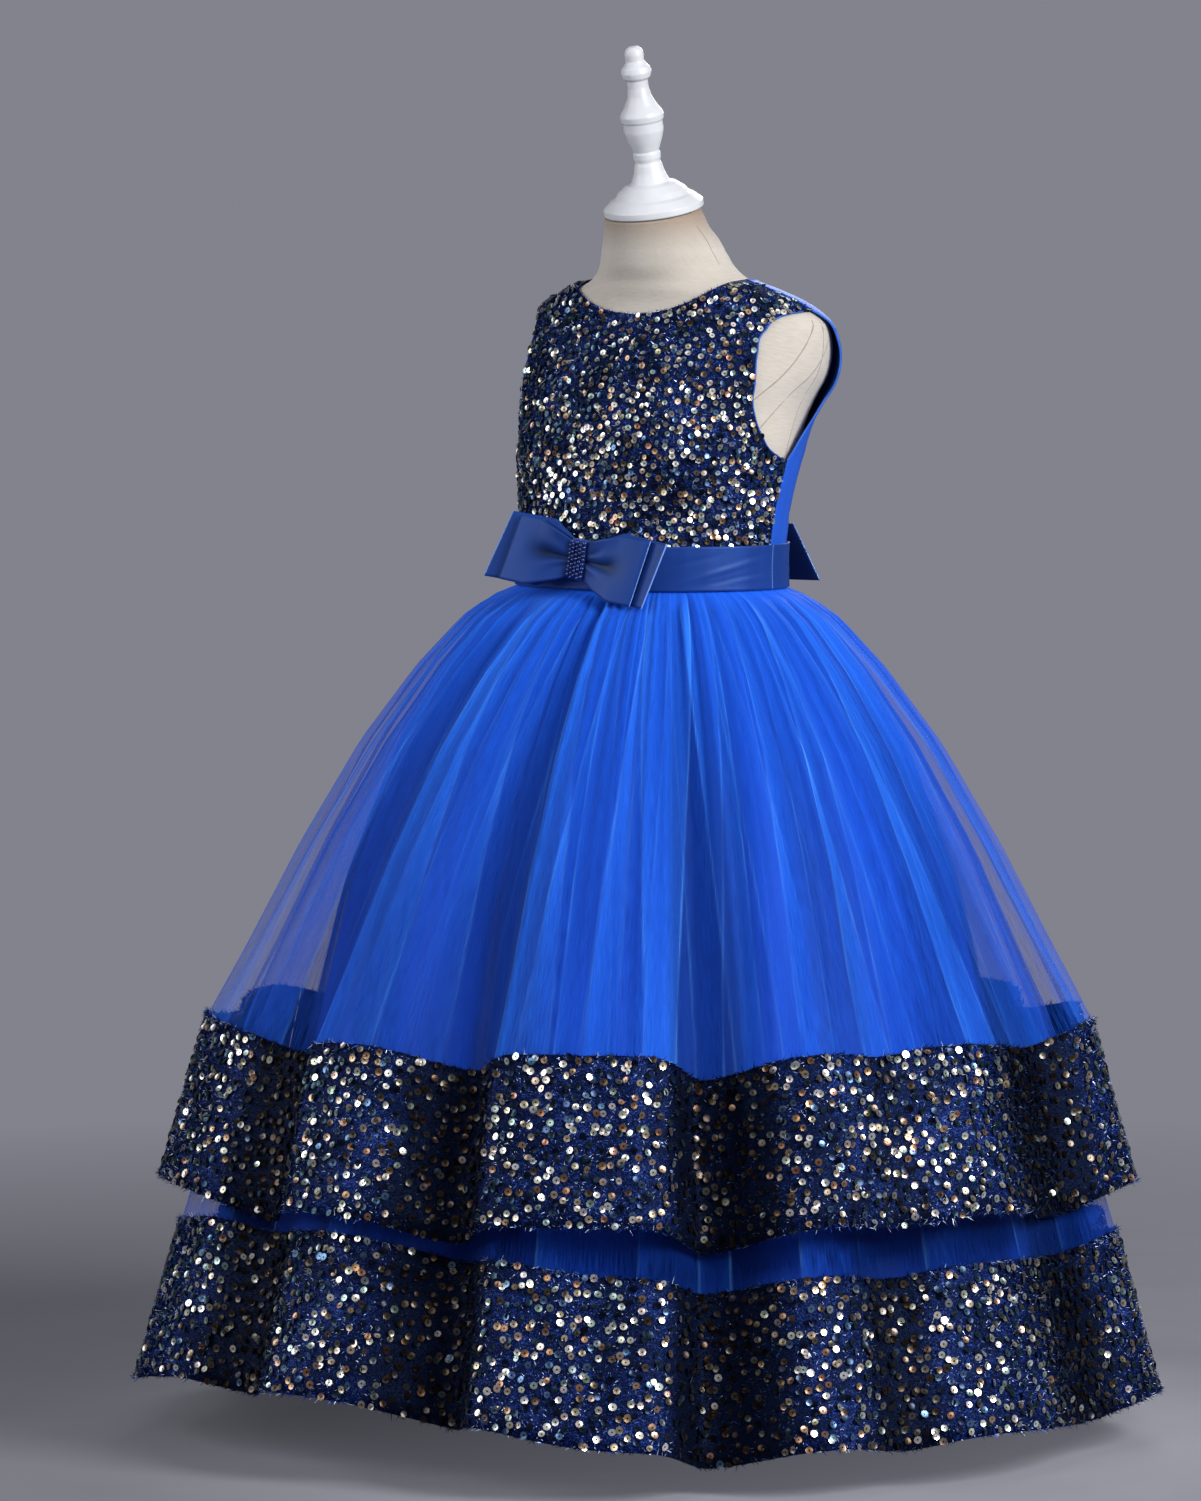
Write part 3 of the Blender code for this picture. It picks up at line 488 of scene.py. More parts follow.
def sequin_finish(name):
    """Foil discs: metal whose colour each disc carries, dark at its sewing hole and cooler where seen edge on."""
    made, tree, shader = new_material(name, (0.8, 0.7, 0.5), 0.3, metallic=0.88)
    foil = add_node(tree, "ShaderNodeAttribute", attribute_name="foil").outputs["Color"]
    cool = mix_colours(tree, math_node(tree, "MULTIPLY", edge_on(tree, 0.3), 0.7), foil, (0.20, 0.42, 0.46, 1))
    past_hole = ramp(tree, point_value(tree, "rim"), (0.20, BLACK), (0.30, WHITE))
    smudge = noise(tree, place(tree, "Object"), 400.0, 2.0)
    feed(tree, shader, {"Base Color": mix_colours(tree, past_hole, (0.01, 0.01, 0.02, 1), cool),
                        "Roughness": total(tree, 0.2, (smudge, 0.2))})
    darker_in_folds(made, 0.92, (0.016, 0.009, 0.006))
    return made


def tinsel_finish(name):
    """Glitter yarn: dark navy, with a share of ends in bright metallic blue, and a few nearly white ends that are
    painted glints.
    """
    made, tree, shader = new_material(name, (0.01, 0.03, 0.2), 0.45, metallic=0.3)
    # The ramp's top stop, nearly white, paints glints on some ends.
    glint = ramp(tree, point_value(tree, "glint"), (0.25, (0.002, 0.004, 0.03)), (0.5, (0.006, 0.018, 0.13)),
                 (0.78, (0.018, 0.08, 0.52)), (0.92, (0.70, 0.82, 1.0)))
    feed(tree, shader, {"Base Color": glint, "Specular Tint": (0.1, 0.3, 1, 1)})
    darker_in_folds(made, 0.93, (0.0006, 0.001, 0.006))
    return made


# %% Linen, ribbon, paint and glass
def linen_finish(name):
    """Plain-woven linen: two sets of uneven threads crossing, with slubs, and painted shade, browner, under the
    cap.
    """
    made, tree, shader = new_material(name, (0.62, 0.56, 0.47), 0.85, sheen=0.2)
    uv = place(tree, "UV")
    weave = math_node(tree, "ADD", threads(tree, uv, 0.7 * MM, 0.0), threads(tree, uv, 0.7 * MM, math.pi / 2))
    slubs = noise(tree, place(tree, "UV", (90, 700, 1)), 1.0, 3.0)
    shade = total(tree, 0.0, (weave, 0.12), (slubs, 0.45), (noise(tree, uv, 9.0, 3.0), 0.35))
    woven_tone = ramp(tree, shade, (0.3, (0.385, 0.335, 0.275)), (0.55, (0.485, 0.447, 0.392)),
                 (0.8, (0.54, 0.512, 0.468)))
    # Painted shade under the cap: from 1 m up, the linen turns brown towards the neck's top.
    height = add_node(tree, "ShaderNodeSeparateXYZ", {"Vector": place(tree, "Object")}).outputs["Z"]
    above_a_metre = math_node(tree, "SUBTRACT", height, 1.0)
    painted_cap_shade = ramp(tree, above_a_metre, (0.000, BLACK), (0.032, (0.95, 0.95, 0.95)))
    feed(tree, shader, {"Base Color": mix_colours(tree, painted_cap_shade, woven_tone, (0.25, 0.175, 0.12, 1))})
    bump(tree, shader, math_node(tree, "ADD", weave, slubs), 0.35, 0.25 * MM)
    return made


def ribbon_finish(name):
    """Navy satin ribbon whose cut edges show a pale, slightly frayed line up to a millimetre wide."""
    made = satin_finish(name, (0.006, 0.026, 0.15), (0.011, 0.048, 0.25), 0.4)
    tree = made.node_tree
    shaded = darker_in_folds(made, 0.85, (0.001, 0.002, 0.012))
    fray = noise(tree, place(tree, "UV", (900, 900, 1)), 1.0, 2.0)
    line = math_node(tree, "LESS_THAN", total(tree, point_value(tree, "edge"), (fray, 0.6 * MM)), 1.0 * MM)
    feed(tree, tree.nodes["Principled BSDF"], {
        "Base Color": mix_colours(tree, line, shaded, (0.16, 0.30, 0.72, 1)), "Specular IOR Level": 0.3})
    return made


def paint_finish(name, colour, roughness, metallic=0.0):
    """Brushed paint: faint streaks round the turning and uneven gloss."""
    made, tree, shader = new_material(name, colour, roughness, metallic)
    streaks = noise(tree, place(tree, "Object", (60, 60, 900)), 1.0, 3.0)
    clouds = noise(tree, place(tree, "Object"), 30.0, 3.0)
    dark = tuple(0.88 * part for part in colour)
    feed(tree, shader, {"Base Color": ramp(tree, clouds, (0.3, dark), (0.6, colour)),
                        "Roughness": total(tree, roughness - 0.1, (streaks, 0.2))})
    bump(tree, shader, streaks, 0.1, 0.2 * MM)
    return made


def bead_finish(name):
    """Small glass beads: deep navy, glossy, with a slightly uneven surface."""
    made, tree, shader = new_material(name, (0.006, 0.02, 0.12), 0.22, metallic=0.2)
    tone = noise(tree, place(tree, "Object"), 350.0, 2.0)
    feed(tree, shader, {"Base Color": ramp(tree, tone, (0.35, (0.004, 0.012, 0.08)), (0.65, (0.012, 0.04, 0.22))),
                        "Coat Weight": 0.6, "Coat Roughness": 0.08})
    return made


# %% The finishes
lining_satin = satin_finish("royal_lining_satin", (0.005, 0.040, 0.40), (0.008, 0.066, 0.62), 0.5)
darker_in_folds(lining_satin, 0.66, (0, 0.006, 0.08))
hazy_edge(lining_satin)
royal_satin = satin_finish("royal_satin", (0.010, 0.065, 0.42), (0.016, 0.100, 0.58), 0.46)
thread_finish = satin_finish("sewing_thread", (0.010, 0.05, 0.25), (0.05, 0.16, 0.6), 0.5, 0.1 * MM)
upper_tulle = tulle_finish("royal_tulle_upper", (0.012, 0.115, 0.80), (0.036, 0.26, 1.0), 0.10, 0.64)
# The lower tier's tulle is the same cloth as the upper's, with darker colours and more fold shade: painted shade
# under the upper tier.
lower_tulle = tulle_finish("royal_tulle_lower", (0.010, 0.080, 0.68), (0.026, 0.17, 0.85), 0.12, 0.85)
sequin_net = sequin_base_finish("navy_sequin_net")
sequin_foil = sequin_finish("sequin_foil")
glitter_yarn = tinsel_finish("navy_tinsel")
cream_linen = linen_finish("cream_linen")
seam_linen = linen_finish("cream_linen_seam")
darker_in_folds(seam_linen, 0.5, (0.10, 0.07, 0.045))
ribbon_satin = ribbon_finish("navy_ribbon")
white_paint = paint_finish("white_paint", (0.58, 0.60, 0.62), 0.35)
navy_enamel = paint_finish("navy_enamel", (0.01, 0.03, 0.14), 0.3, 0.6)
navy_beads = bead_finish("navy_beads")
print("finishes:", len(bpy.data.materials))

# %% [markdown]
# ## The dress form
#
# The form is linen stretched over a moulded figure, so its surface is the figure's ovals, moved in by the
# bodice's wall and ease. The neck is cut by a plane that leans forward, and the turned cap stands on it.

# %% The linen-covered torso
FORM_BOTTOM, NECK_TILT = 60 * CM, math.radians(13)
NECK_TOP = np.array((0, 0.3 * CM, 103.3 * CM))
EASE_FADES, LEAST_EASE = (97.3 * CM, 98.8 * CM), 0.9

# Behind each armhole the linen is hollowed, in an area given by its middle and half size in degrees and in cm.
HOLLOW, HOLLOW_ROUND, HOLLOW_UP = 3 * MM, (84, 34), (89.5, 4.2)


def form_points(angles, heights):
    """The linen: the figure moved in by its ease and hollowed at the armholes. Also its sloping top's height."""
    in_bodice = 1 - step_between(*EASE_FADES, heights)
    inside = in_bodice * (SEQUIN_CLOTH + np.maximum(figure(heights, "ease_mm"), LEAST_EASE) * MM)
    round_hollow = (np.abs(np.degrees(angles)) - HOLLOW_ROUND[0]) / HOLLOW_ROUND[1]
    up_hollow = (heights / CM - HOLLOW_UP[0]) / HOLLOW_UP[1]
    grid = figure_points(angles, heights, -(inside + HOLLOW * np.exp(-(round_hollow**4) - up_hollow**4)))
    return grid, NECK_TOP[2] + (grid[..., 1] - NECK_TOP[1]) * math.tan(NECK_TILT)


def torso_grid(columns=181):
    """Each column runs from the middle of the bottom, round its edge, and up to the middle of the neck's cut."""
    angles = np.linspace(-np.pi, np.pi, columns)[None, :]
    rows = np.concatenate([np.linspace(FORM_BOTTOM + 4 * MM, 94 * CM, 44), np.linspace(94.3 * CM, 102 * CM, 40)])
    grid = form_points(angles, rows[:, None])[0]
    neck, top = form_points(angles, NECK_TOP[2:, None])
    last = grid[-1]
    reach = (top[0] - last[:, 2]) / (neck[0, :, 2] - last[:, 2])
    rim = last + (neck[0] - last) * reach[:, None]
    centre = np.broadcast_to(NECK_TOP, rim.shape)
    foot = grid[0] * (1, 1, 0) + (0, 0, FORM_BOTTOM)
    bottom = [foot * (0, 0, 1), foot * (0.985, 0.985, 1), grid[0] * (0.997, 0.997, 1) + (0, 0, -2.6 * MM)]
    return np.concatenate([bottom, grid, [last + (rim - last) * 0.5, rim, rim + (centre - rim) * 0.02, centre]])


torso = grid_piece("form_torso_linen", torso_grid(), cream_linen, ("form_torso",))
print("torso:", len(torso.data.polygons), "faces")

# %% [markdown]
# The cover is sewn from shaped panels. Each seam is a fine ridge, a little darker than the cloth, so a narrow
# strip carried along a path on the surface shows it best: one path for each side and panel seam.

# %% Seams of the linen cover
# Each seam: degrees at its low and high end, and the heights that it runs between.
LINEN_SEAMS = ((92, 92, 60.5, 95.5), (-92, -92, 60.5, 95.5), (82, 85, 98.8, 103.3), (-82, -85, 98.8, 103.3),
               (34, 26, 60.5, 92.0), (-34, -26, 60.5, 92.0), (180, 180, 60.5, 103.6), (84, 58, 94.4, 87.0),
               (-84, -58, 94.4, 87.0), (99, 66, 92.6, 84.4), (-99, -66, 92.6, 84.4))


def strip_along(path, out, across, half_width, height):
    """A raised strip: a low arch of five points carried along a path, with `out` and `across` directions."""
    arch = np.linspace(-1, 1, 5)
    sideways, rise = (half_width * arch)[None, :, None], (height * (1 - arch**2))[None, :, None]
    return path[:, None] + across[:, None] * sideways + out[:, None] * rise


def directions(path, out):
    """The sideways direction of a strip along the path, square to it and to `out`."""
    along = np.gradient(path, axis=0)
    return unit(np.cross(along, out))


def linen_seams():
    """A strip for each seam, its foot 0.12 mm below the linen's surface."""
    strips = []
    for low, high, start, end in LINEN_SEAMS:
        heights = np.linspace(start, end, 80) * CM
        angles = np.radians(np.linspace(low, high, 80))
        path = form_points(angles, heights)[0]
        out = unit(figure_points(angles, heights, 1 * MM) - figure_points(angles, heights, 0.0))
        strips.append(strip_along(path - out * 0.12 * MM, out, directions(path, out), 0.7 * MM, 0.3 * MM))
    return strips


form_seams = joined_grids("form_seams", linen_seams(), seam_linen)
attribute(form_seams, "in_fold", np.ones(len(form_seams.data.vertices)))

# %% [markdown]
# The neck cap, pole and base are turned work. A lathe outline is a list of heights and radii. Reading it
# through a smooth curve, with a few sharp steps kept, gives the soft beads and coves of real turning.

# %% Turned pieces: neck cap, pole and base
# Each outline: height and radius.
CAP = (
    (14.2, 0.0), (14.15, 0.45), (13.9, 0.75), (13.5, 0.82), (12.95, 0.78), (12.65, 0.95), (12.4, 1.2),
    (11.95, 1.3), (11.5, 1.15), (11.3, 0.9), (10.7, 0.88), (9.9, 1.02), (9.1, 1.4), (8.6, 1.75), (8.3, 1.87),
    (7.85, 1.8), (7.7, 1.68), (6.9, 1.7), (6.1, 1.45), (5.2, 1.08), (5.0, 1.17), (4.6, 1.17), (4.3, 1.06),
    (4.0, 1.18), (3.4, 1.3), (2.5, 1.65), (2.35, 2.2), (1.8, 2.9), (1.35, 3.2), (1.2, 3.55), (0.75, 4.05),
    (0.6, 4.25), (0.1, 4.25), (0.0, 4.1), (0.0, 0.0),
)
POLE_RADIUS, BASE_RADIUS, BASE_THICK, HUB_TOP, HUB_RADIUS = 1.25, 14.0, 1.2, 3.6, 2.6
BASE = (
    (HUB_TOP, 0.0), (HUB_TOP, HUB_RADIUS - 0.2), (HUB_TOP - 0.2, HUB_RADIUS),
    (BASE_THICK + 0.3, HUB_RADIUS + 0.3), (BASE_THICK, HUB_RADIUS + 1.0), (BASE_THICK - 0.2, BASE_RADIUS - 0.6),
    (BASE_THICK - 0.6, BASE_RADIUS), (0.0, BASE_RADIUS), (0.0, 0.0),
)


def rounded_outline(outline, soften=0.22, steps=5):
    """Corners of the outline cut back by a share of their shorter side and rounded by a quadratic curve."""
    rows = np.array(outline, float)
    corner, back, ahead = rows[1:-1], rows[:-2] - rows[1:-1], rows[2:] - rows[1:-1]
    reach = soften * np.minimum(np.linalg.norm(back, axis=1), np.linalg.norm(ahead, axis=1))[:, None]
    start, end = corner + unit(back) * reach, corner + unit(ahead) * reach
    t = np.linspace(0, 1, steps)[:, None]
    curves = (1 - t) ** 2 * start[:, None] + 2 * t * (1 - t) * corner[:, None] + t**2 * end[:, None]
    return np.concatenate([rows[:1], curves.reshape(-1, 2), rows[-1:]]) * CM


def turned_piece(name, outline, place_at, node, columns=97):
    """x, y and z are r cos(a), r sin(a) and h, for each outline row (h, r) and angle a."""
    rows = rounded_outline(outline)[::-1]
    angles = np.linspace(0, 2 * np.pi, columns)
    grid = np.stack([rows[:, 1:] * np.cos(angles), rows[:, 1:] * np.sin(angles),
                     np.broadcast_to(rows[:, :1], (len(rows), columns))], axis=-1)
    grid = grid @ np.array(place_at.to_3x3()).T + np.array(place_at.translation)
    return grid_piece(name, grid, white_paint, (node,))


neck_axis = Vector((0, -math.sin(NECK_TILT), math.cos(NECK_TILT)))
cap_place = Matrix.Translation(Vector(NECK_TOP) + neck_axis * SEAM) @ Matrix.Rotation(NECK_TILT, 4, "X")
turned_piece("neck_cap_turned", CAP, cap_place, "form_neck_cap")
turned_piece("base_plate", BASE, Matrix.Identity(4), "form_base")
POLE_TOP, POLE_BOTTOM = (FORM_BOTTOM - SEAM) / CM, HUB_TOP + SEAM / CM
POLE = ((POLE_TOP, 0.0), (POLE_TOP, POLE_RADIUS), (POLE_BOTTOM, POLE_RADIUS), (POLE_BOTTOM, 0.0))
turned_piece("pole_tube", POLE, Matrix.Identity(4), "form_pole")
print("turned pieces done")

# %% [markdown]
# ## Skirts
#
# A skirt is a tube of cloth. Its outline gives how far the crests stand out, and each large fold dips inwards
# from them. Every column of cloth has the outline's whole length, so where a fold takes some of it inwards
# the hem there hangs higher or lower, as real cloth does. Small gathers and pleats are added to the spread.

# %% The large folds, and a skirt's grid
def fold_depth(angles, column):
    """Sum over the folds of depth exp(-(degrees away / width)^2), where each side of a fold has its own width."""
    depth = np.zeros_like(angles)
    for row in FOLDS:
        away = (np.degrees(angles) - row[0] + 180) % 360 - 180
        width = np.where(away < 0, row[1], row[2])
        depth += row[FOLD_COLUMNS.index(column)] * CM * np.exp(-((away / width) ** 2))
    return depth


def length_down(drop, spread):
    """The length of an outline down to each drop: the sum of sqrt(d_drop^2 + d_spread^2)."""
    return np.concatenate([[0], np.cumsum(np.hypot(np.diff(drop), np.diff(spread)))])


def skirt_grid(outline, column, angles, drops, waist_out, lift=0.0, creases=None):
    """Down a column, dl is the outline's length and ds the spread less the fold: drop sums sqrt(dl^2 - ds^2).

    x is (width + out) sin(angle), and y is -(depth + 1.08 out) cos(angle). `creases` adds small pleats to `out`.
    """
    table, rows = np.array(outline) * CM, np.array(drops) * CM
    drop = np.unique(np.concatenate([np.linspace(0, table[-1, 0], 400), table[:, 0], rows]))
    spread = np.interp(drop, table[:, 0], table[:, 1])
    length = length_down(drop, spread)
    share = (length / length[-1])[:, None]
    out = spread[:, None] - share**FOLD_GROWTH * fold_depth(angles, column)[None, :]
    steps = np.diff(length)[:, None] ** 2 - np.diff(out, axis=0) ** 2
    down = np.concatenate([0 * out[:1], np.cumsum(np.sqrt(np.maximum(steps, 0)), axis=0)])
    at = np.searchsorted(drop, rows)
    from_lift = (np.degrees(angles) - LIFT_DEGREES + 180) % 360 - 180
    out, down = out[at] + waist_out, down[at] * (1 - lift * np.exp(-((from_lift / LIFT_REACH) ** 4)))
    if creases is not None:
        out = out + creases(angles, length[at][:, None])
    x = (WAIST_WIDTH + out) * np.sin(angles)
    y = -(WAIST_DEPTH + out * DEPTH_GROWTH) * np.cos(angles)
    return np.stack([x, y, WAIST_SEAM - SEAM / 2 - down], axis=-1)[::-1]


def half_angles(side, columns):
    """Angles of the front half, -90 to 90 degrees, or of the back half, 90 to 270, inside the side seams."""
    start = -90 if side == "front" else 90
    edge = math.degrees(HALF_SEAM_TURN)
    return np.radians(np.linspace(start + edge, start + 180 - edge, columns))


# %% [markdown]
# Tulle is gathered by hand on the waist seam, so its small pleats are uneven: some run down to the band and
# others fade within a hand's width. Each row of the table is one pleat, and each is a soft ridge: the height
# of a bell curve across the cloth, which grows in below the waist and fades where the pleat ends.

# %% Pleats of the tulle, listed one by one round the whole skirt
# Each pleat: degrees, half width in degrees, height in mm (below 0 for a trough), and the cm it runs from and to.
PLEATS = (
    (-84, 2.2, 4, 1, 50), (-77, 1.2, 3, 0, 22), (-71, 1.8, -5, 2, 50), (-63, 1.0, 3, 0, 34),
    (-57, 2.4, 5, 1, 58), (-49, 1.1, 3, 0, 20), (-44, 1.6, -4, 1, 50), (-37, 1.0, 3, 0, 44),
    (-31, 2.0, 4, 2, 50), (-25, 0.9, 3, 0, 26), (-19, 1.8, -5, 2, 56), (-13, 1.0, 4, 3, 60),
    (-8, 1.4, 3, 1, 48), (-4, 0.8, -3, 0, 40), (-1.5, 0.7, 3, 0, 36), (3, 1.1, 3, 0, 52), (6.5, 0.7, -4, 0, 30),
    (11.5, 1.7, -8, 0, 60), (14.6, 0.7, 5, 0, 60), (18, 0.9, 3, 0, 50), (22, 1.2, -3, 0, 44),
    (26, 0.8, 4, 0, 58), (29, 0.7, -3, 0, 34), (32, 0.8, 4, 0, 60), (35.6, 0.9, 4, 2, 60),
    (38.8, 1.5, -7, 1, 60), (43.5, 0.8, -3, 0, 40), (46, 0.8, 4, 0, 58), (50, 1.0, -3, 0, 36),
    (54, 1.4, 4, 1, 60), (58.5, 1.2, -4, 2, 50), (63, 0.8, 4, 0, 60), (67, 0.8, 3, 0, 40),
    (70.5, 1.4, -4, 3, 56), (75, 0.9, 4, 1, 58), (80, 1.5, -3, 1, 44), (85, 1.0, 4, 0, 56),
    (91, 1.6, -4, 1, 50), (97, 1.1, 3, 0, 36), (103, 1.6, 4, 1, 60), (110, 1.0, -3, 0, 27),
    (115, 2.0, 4, 2, 54), (121, 1.3, -5, 0, 44), (128, 1.7, 4, 1, 60), (135, 1.0, 3, 0, 31),
    (142, 2.1, 4, 2, 52), (149, 1.3, -5, 0, 40), (155, 1.6, 4, 1, 60), (162, 1.0, 3, 0, 36),
    (169, 1.9, -4, 1, 50), (177, 1.3, 4, 0, 58), (184, 1.0, 3, 0, 22), (190, 1.8, 4, 2, 55),
    (197, 1.3, -5, 0, 42), (203, 1.5, 4, 1, 60), (211, 1.0, 3, 0, 29), (218, 2.0, -5, 1, 52),
    (225, 1.2, 3, 0, 40), (232, 1.6, 4, 1, 60), (240, 1.0, 3, 0, 25), (247, 1.9, -4, 2, 50),
    (254, 1.2, 4, 0, 58), (262, 1.5, 3, 1, 34),
)
SMALL_GATHERS, GATHER_DEPTH = 104, 1.7 * MM
GATHER_GROWTH, GATHER_FADE = 2.5 * CM, 13 * CM
TROUGH, TROUGH_WIDER = 8, 1.3  # a pleat this many mm deep is in full shade, which is wider than the pleat


def bell(angles, degrees, half_width):
    """exp(-(away / half_width)^2), one row for each pleat and one column for each angle."""
    away = (np.degrees(angles)[None, :] - np.asarray(degrees)[:, None] + 180) % 360 - 180
    return np.exp(-((away / np.asarray(half_width)[:, None]) ** 2))


def lasting(start, end, rise, fade, reach):
    """0 down to `start` cm, then 1 after `rise` cm more, and back to 0 over the last `fade` cm before `end`."""
    below = step_between(start * CM, (start + rise) * CM, reach)
    return below * (1 - step_between((end - fade) * CM, end * CM, reach))


def pleats(angles, reach, size=1.0):
    """Each pleat's height, times its rise below the waist and its fade, times its bell across the cloth."""
    table = np.array(PLEATS)
    lasts = lasting(table[:, 3], table[:, 4], 3, 14, reach)
    return size * (lasts * table[:, 2] * MM) @ bell(angles, table[:, 0], table[:, 1])


def small_gathers(angles, reach, seed=3, count=SMALL_GATHERS):
    """Ridges at uneven angles: each has its own height, and dies out down the skirt at its own rate."""
    chance = np.random.default_rng(seed)
    degrees = (np.arange(count) + chance.uniform(-0.35, 0.35, count)) * 360 / count
    size = chance.uniform(0.4, 1.0, count) * GATHER_DEPTH
    fade = GATHER_FADE * chance.uniform(0.4, 1.5, count)
    along = np.clip(reach / GATHER_GROWTH, 0, 1) * np.exp(-reach / fade[None, :])
    level = 0.3 * along.mean(axis=1, keepdims=True) * MM
    return (along * size) @ bell(angles, degrees, np.full(count, 0.9)) - level


def reach_down(outline, drops):
    """How far along the cloth each drop is, as a column."""
    table = np.array(outline) * CM
    fine = np.linspace(0, table[-1, 0], 2000)
    length = length_down(fine, np.interp(fine, table[:, 0], table[:, 1]))
    return np.interp(np.array(drops) * CM, fine, length)[:, None]


def in_fold(angles, reach, size=1.0, column="upper_depth"):
    """0 on the crests, and up to 1 deep in a fold: the folds' bells below the waist, and each pleat's trough."""
    folds = step_between(0.4 * CM, 2.2 * CM, fold_depth(angles, column))[None, :]
    table = np.array([row for row in PLEATS if row[2] < 0])
    lasts = lasting(table[:, 3], table[:, 4], 3, 14, reach)
    troughs = (lasts * -table[:, 2] / TROUGH) @ bell(angles, table[:, 0], table[:, 1] * TROUGH_WIDER)
    return np.clip(size * (step_between(2 * CM, 40 * CM, reach) * folds + 0.7 * troughs), 0, 1)


def upper_creases(angles, reach):
    """The upper tier's small gathers and pleats."""
    return small_gathers(angles, reach) + pleats(angles, reach)


def lower_creases(angles, reach):
    """What is under the upper tier has the same pleats at half the height, turned by 9 degrees."""
    return pleats(angles + math.radians(9), reach, 0.5)


# %% [markdown]
# Where tulle overlaps itself in a pleat it looks lighter and covers more. The pleat's own edge is crisp, with a
# fine pale line, and the doubled cloth behind it fades out sideways. Real net would need millions of holes, so
# the sheet carries a number for how doubled it is. The material turns that into cover and tone. It carries
# another for shadow, which the material darkens: deep folds, the small gathers' valleys, the lee of each strip's
# edge, and what the upper band hangs over.

# %% Doubled strips and the fine edges of pleats
# Each strip: degrees of its edge, its width (below 0 towards the wearer's right), strength, and cm from and to.
STRIPS = (
    (-80, 5, 0.4, 2, 70), (-72, -3, 0.4, 0, 50), (-60, 6, 0.5, 1, 70), (-52, -4, 0.35, 0, 60),
    (-44, 4, 0.5, 2, 70), (-36, -6, 0.45, 1, 70), (-31, 4, 0.3, 0, 45), (-25, -3, 0.4, 0, 60),
    (-14, 5, 0.6, 2, 70), (-9, 3, 0.3, 0, 44), (-3.5, -4, 0.4, 0, 70), (0.5, 3, 0.3, 0, 40),
    (5, -3, 0.35, 0, 56), (13.6, 4, 0.8, 0, 70), (17, 2, 0.4, 0, 50), (21, -3, 0.35, 0, 62),
    (25.5, 4, 0.5, 0, 70), (29.5, -2, 0.3, 0, 46), (33, 2.5, 0.45, 0, 70), (37, -4, 0.8, 0, 70),
    (45, 3, 0.6, 1, 70), (48.5, -2.5, 0.4, 0, 50), (53, 4, 0.4, 0, 66), (57, -2, 0.3, 0, 40),
    (61.8, 3, 0.6, 0, 70), (65.5, -2.5, 0.45, 0, 54), (70, 3, 0.35, 0, 46), (77.5, 5, 0.6, 1, 70),
    (84, -3, 0.4, 0, 60), (90, 5, 0.5, 1, 70), (99, -4, 0.4, 0, 60), (106, 5, 0.5, 2, 70), (115, 4, 0.4, 1, 52),
    (124, -5, 0.5, 1, 70), (136, 5, 0.4, 0, 60), (147, -4, 0.5, 2, 70), (158, 5, 0.4, 1, 56),
    (170, 4, 0.5, 0, 70), (181, -5, 0.4, 1, 50), (193, 4, 0.5, 0, 70), (206, 5, 0.4, 0, 58),
    (218, -4, 0.5, 1, 70), (229, 4, 0.4, 2, 50), (241, 5, 0.5, 0, 70), (254, -4, 0.45, 1, 66),
)
SWAY, SWAY_END = 7, 45 * CM  # how far an edge starts to one side, in degrees, and where it has come back
HAIRS, HAIRLINE = 170, 0.14  # the number of fine hairs, and a hairline's half width in degrees
LEE, LEE_FROM = 1.7, (4 * CM, 22 * CM)  # a fold's shadow beside an edge: degrees, and where it grows in
VALLEY_SHADE, VALLEY_FADE = 0.5, 17 * CM  # shade between the small gathers, and how far down it lasts


def pleat_edges(angles, reach, shift):
    """How far each angle is past each strip's edge, in degrees, how strong the strip is there, and its width.

    Each has a row for each distance down, since an edge starts up to SWAY degrees to one side and sways back.
    """
    degrees = (np.degrees(angles) - shift + 90) % 360 - 90
    strips = np.array(STRIPS)
    sway = SWAY * np.sin(2.4 * np.arange(len(strips)))[None, :] * np.clip(1 - reach / SWAY_END, 0, 1) ** 1.5
    edge = strips[None, :, 0] + sway
    past = (degrees[None, None, :] - edge[:, :, None]) * np.sign(strips[None, :, 1:2])
    return past, lasting(strips[:, 3], strips[:, 4], 4, 12, reach) * strips[:, 2], np.abs(strips[:, 1:2])


def gathered_cloth(grid):
    """Near 1 at the waist, where all the net's width is drawn in, and 0 where it hangs at its full width."""
    girth = lengths(grid, 1)[:, -1]
    return np.clip((girth.max() / girth - 1.12) / 1.6, 0, 1)[:, None]


def doubled_cloth(angles, reach, seed, shift=0.0):
    """Each strip: 0 before its edge, 1 at it and exp(-away / width) beyond. Fine hairs are laid over them."""
    past, strength, width = pleat_edges(angles, reach, shift)
    strip = step_between(0, 0.3, past) * np.exp(-np.maximum(past, 0) / (0.75 * width))
    doubled = 0.75 * np.einsum("rs,rsa->ra", strength, strip)
    chance = np.random.default_rng(seed)
    hair = chance.uniform(-90, 270, HAIRS)
    length = chance.uniform(5, 36, HAIRS) * CM
    hairs = bell(angles, hair, chance.uniform(0.10, 0.35, HAIRS))
    fading = 1 - step_between(length * 0.4, length, reach)
    return np.clip(doubled + (fading * chance.uniform(0.04, 0.24, HAIRS)) @ hairs, 0, 1)


def hairlines(angles, reach, shift=0.0):
    """The crisp edge of each strip, exp(-(past / HAIRLINE)^2), which wavers in strength down the cloth."""
    past, strength, _ = pleat_edges(angles, reach, shift)
    waver = 0.7 + 0.3 * np.sin(reach / (2.3 * CM) + np.arange(strength.shape[1]))
    return np.clip(np.einsum("rs,rsa->ra", strength * waver, np.exp(-((past / HAIRLINE) ** 2))), 0, 1)


def gather_shade(angles, reach):
    """Between the small gathers near the waist: 1 less their share of full height, fading downwards."""
    valley = 1 - np.clip(small_gathers(angles, reach) / GATHER_DEPTH / 0.6, 0, 1)
    return VALLEY_SHADE * valley * step_between(0.5 * CM, 3.5 * CM, reach) * np.exp(-reach / VALLEY_FADE)


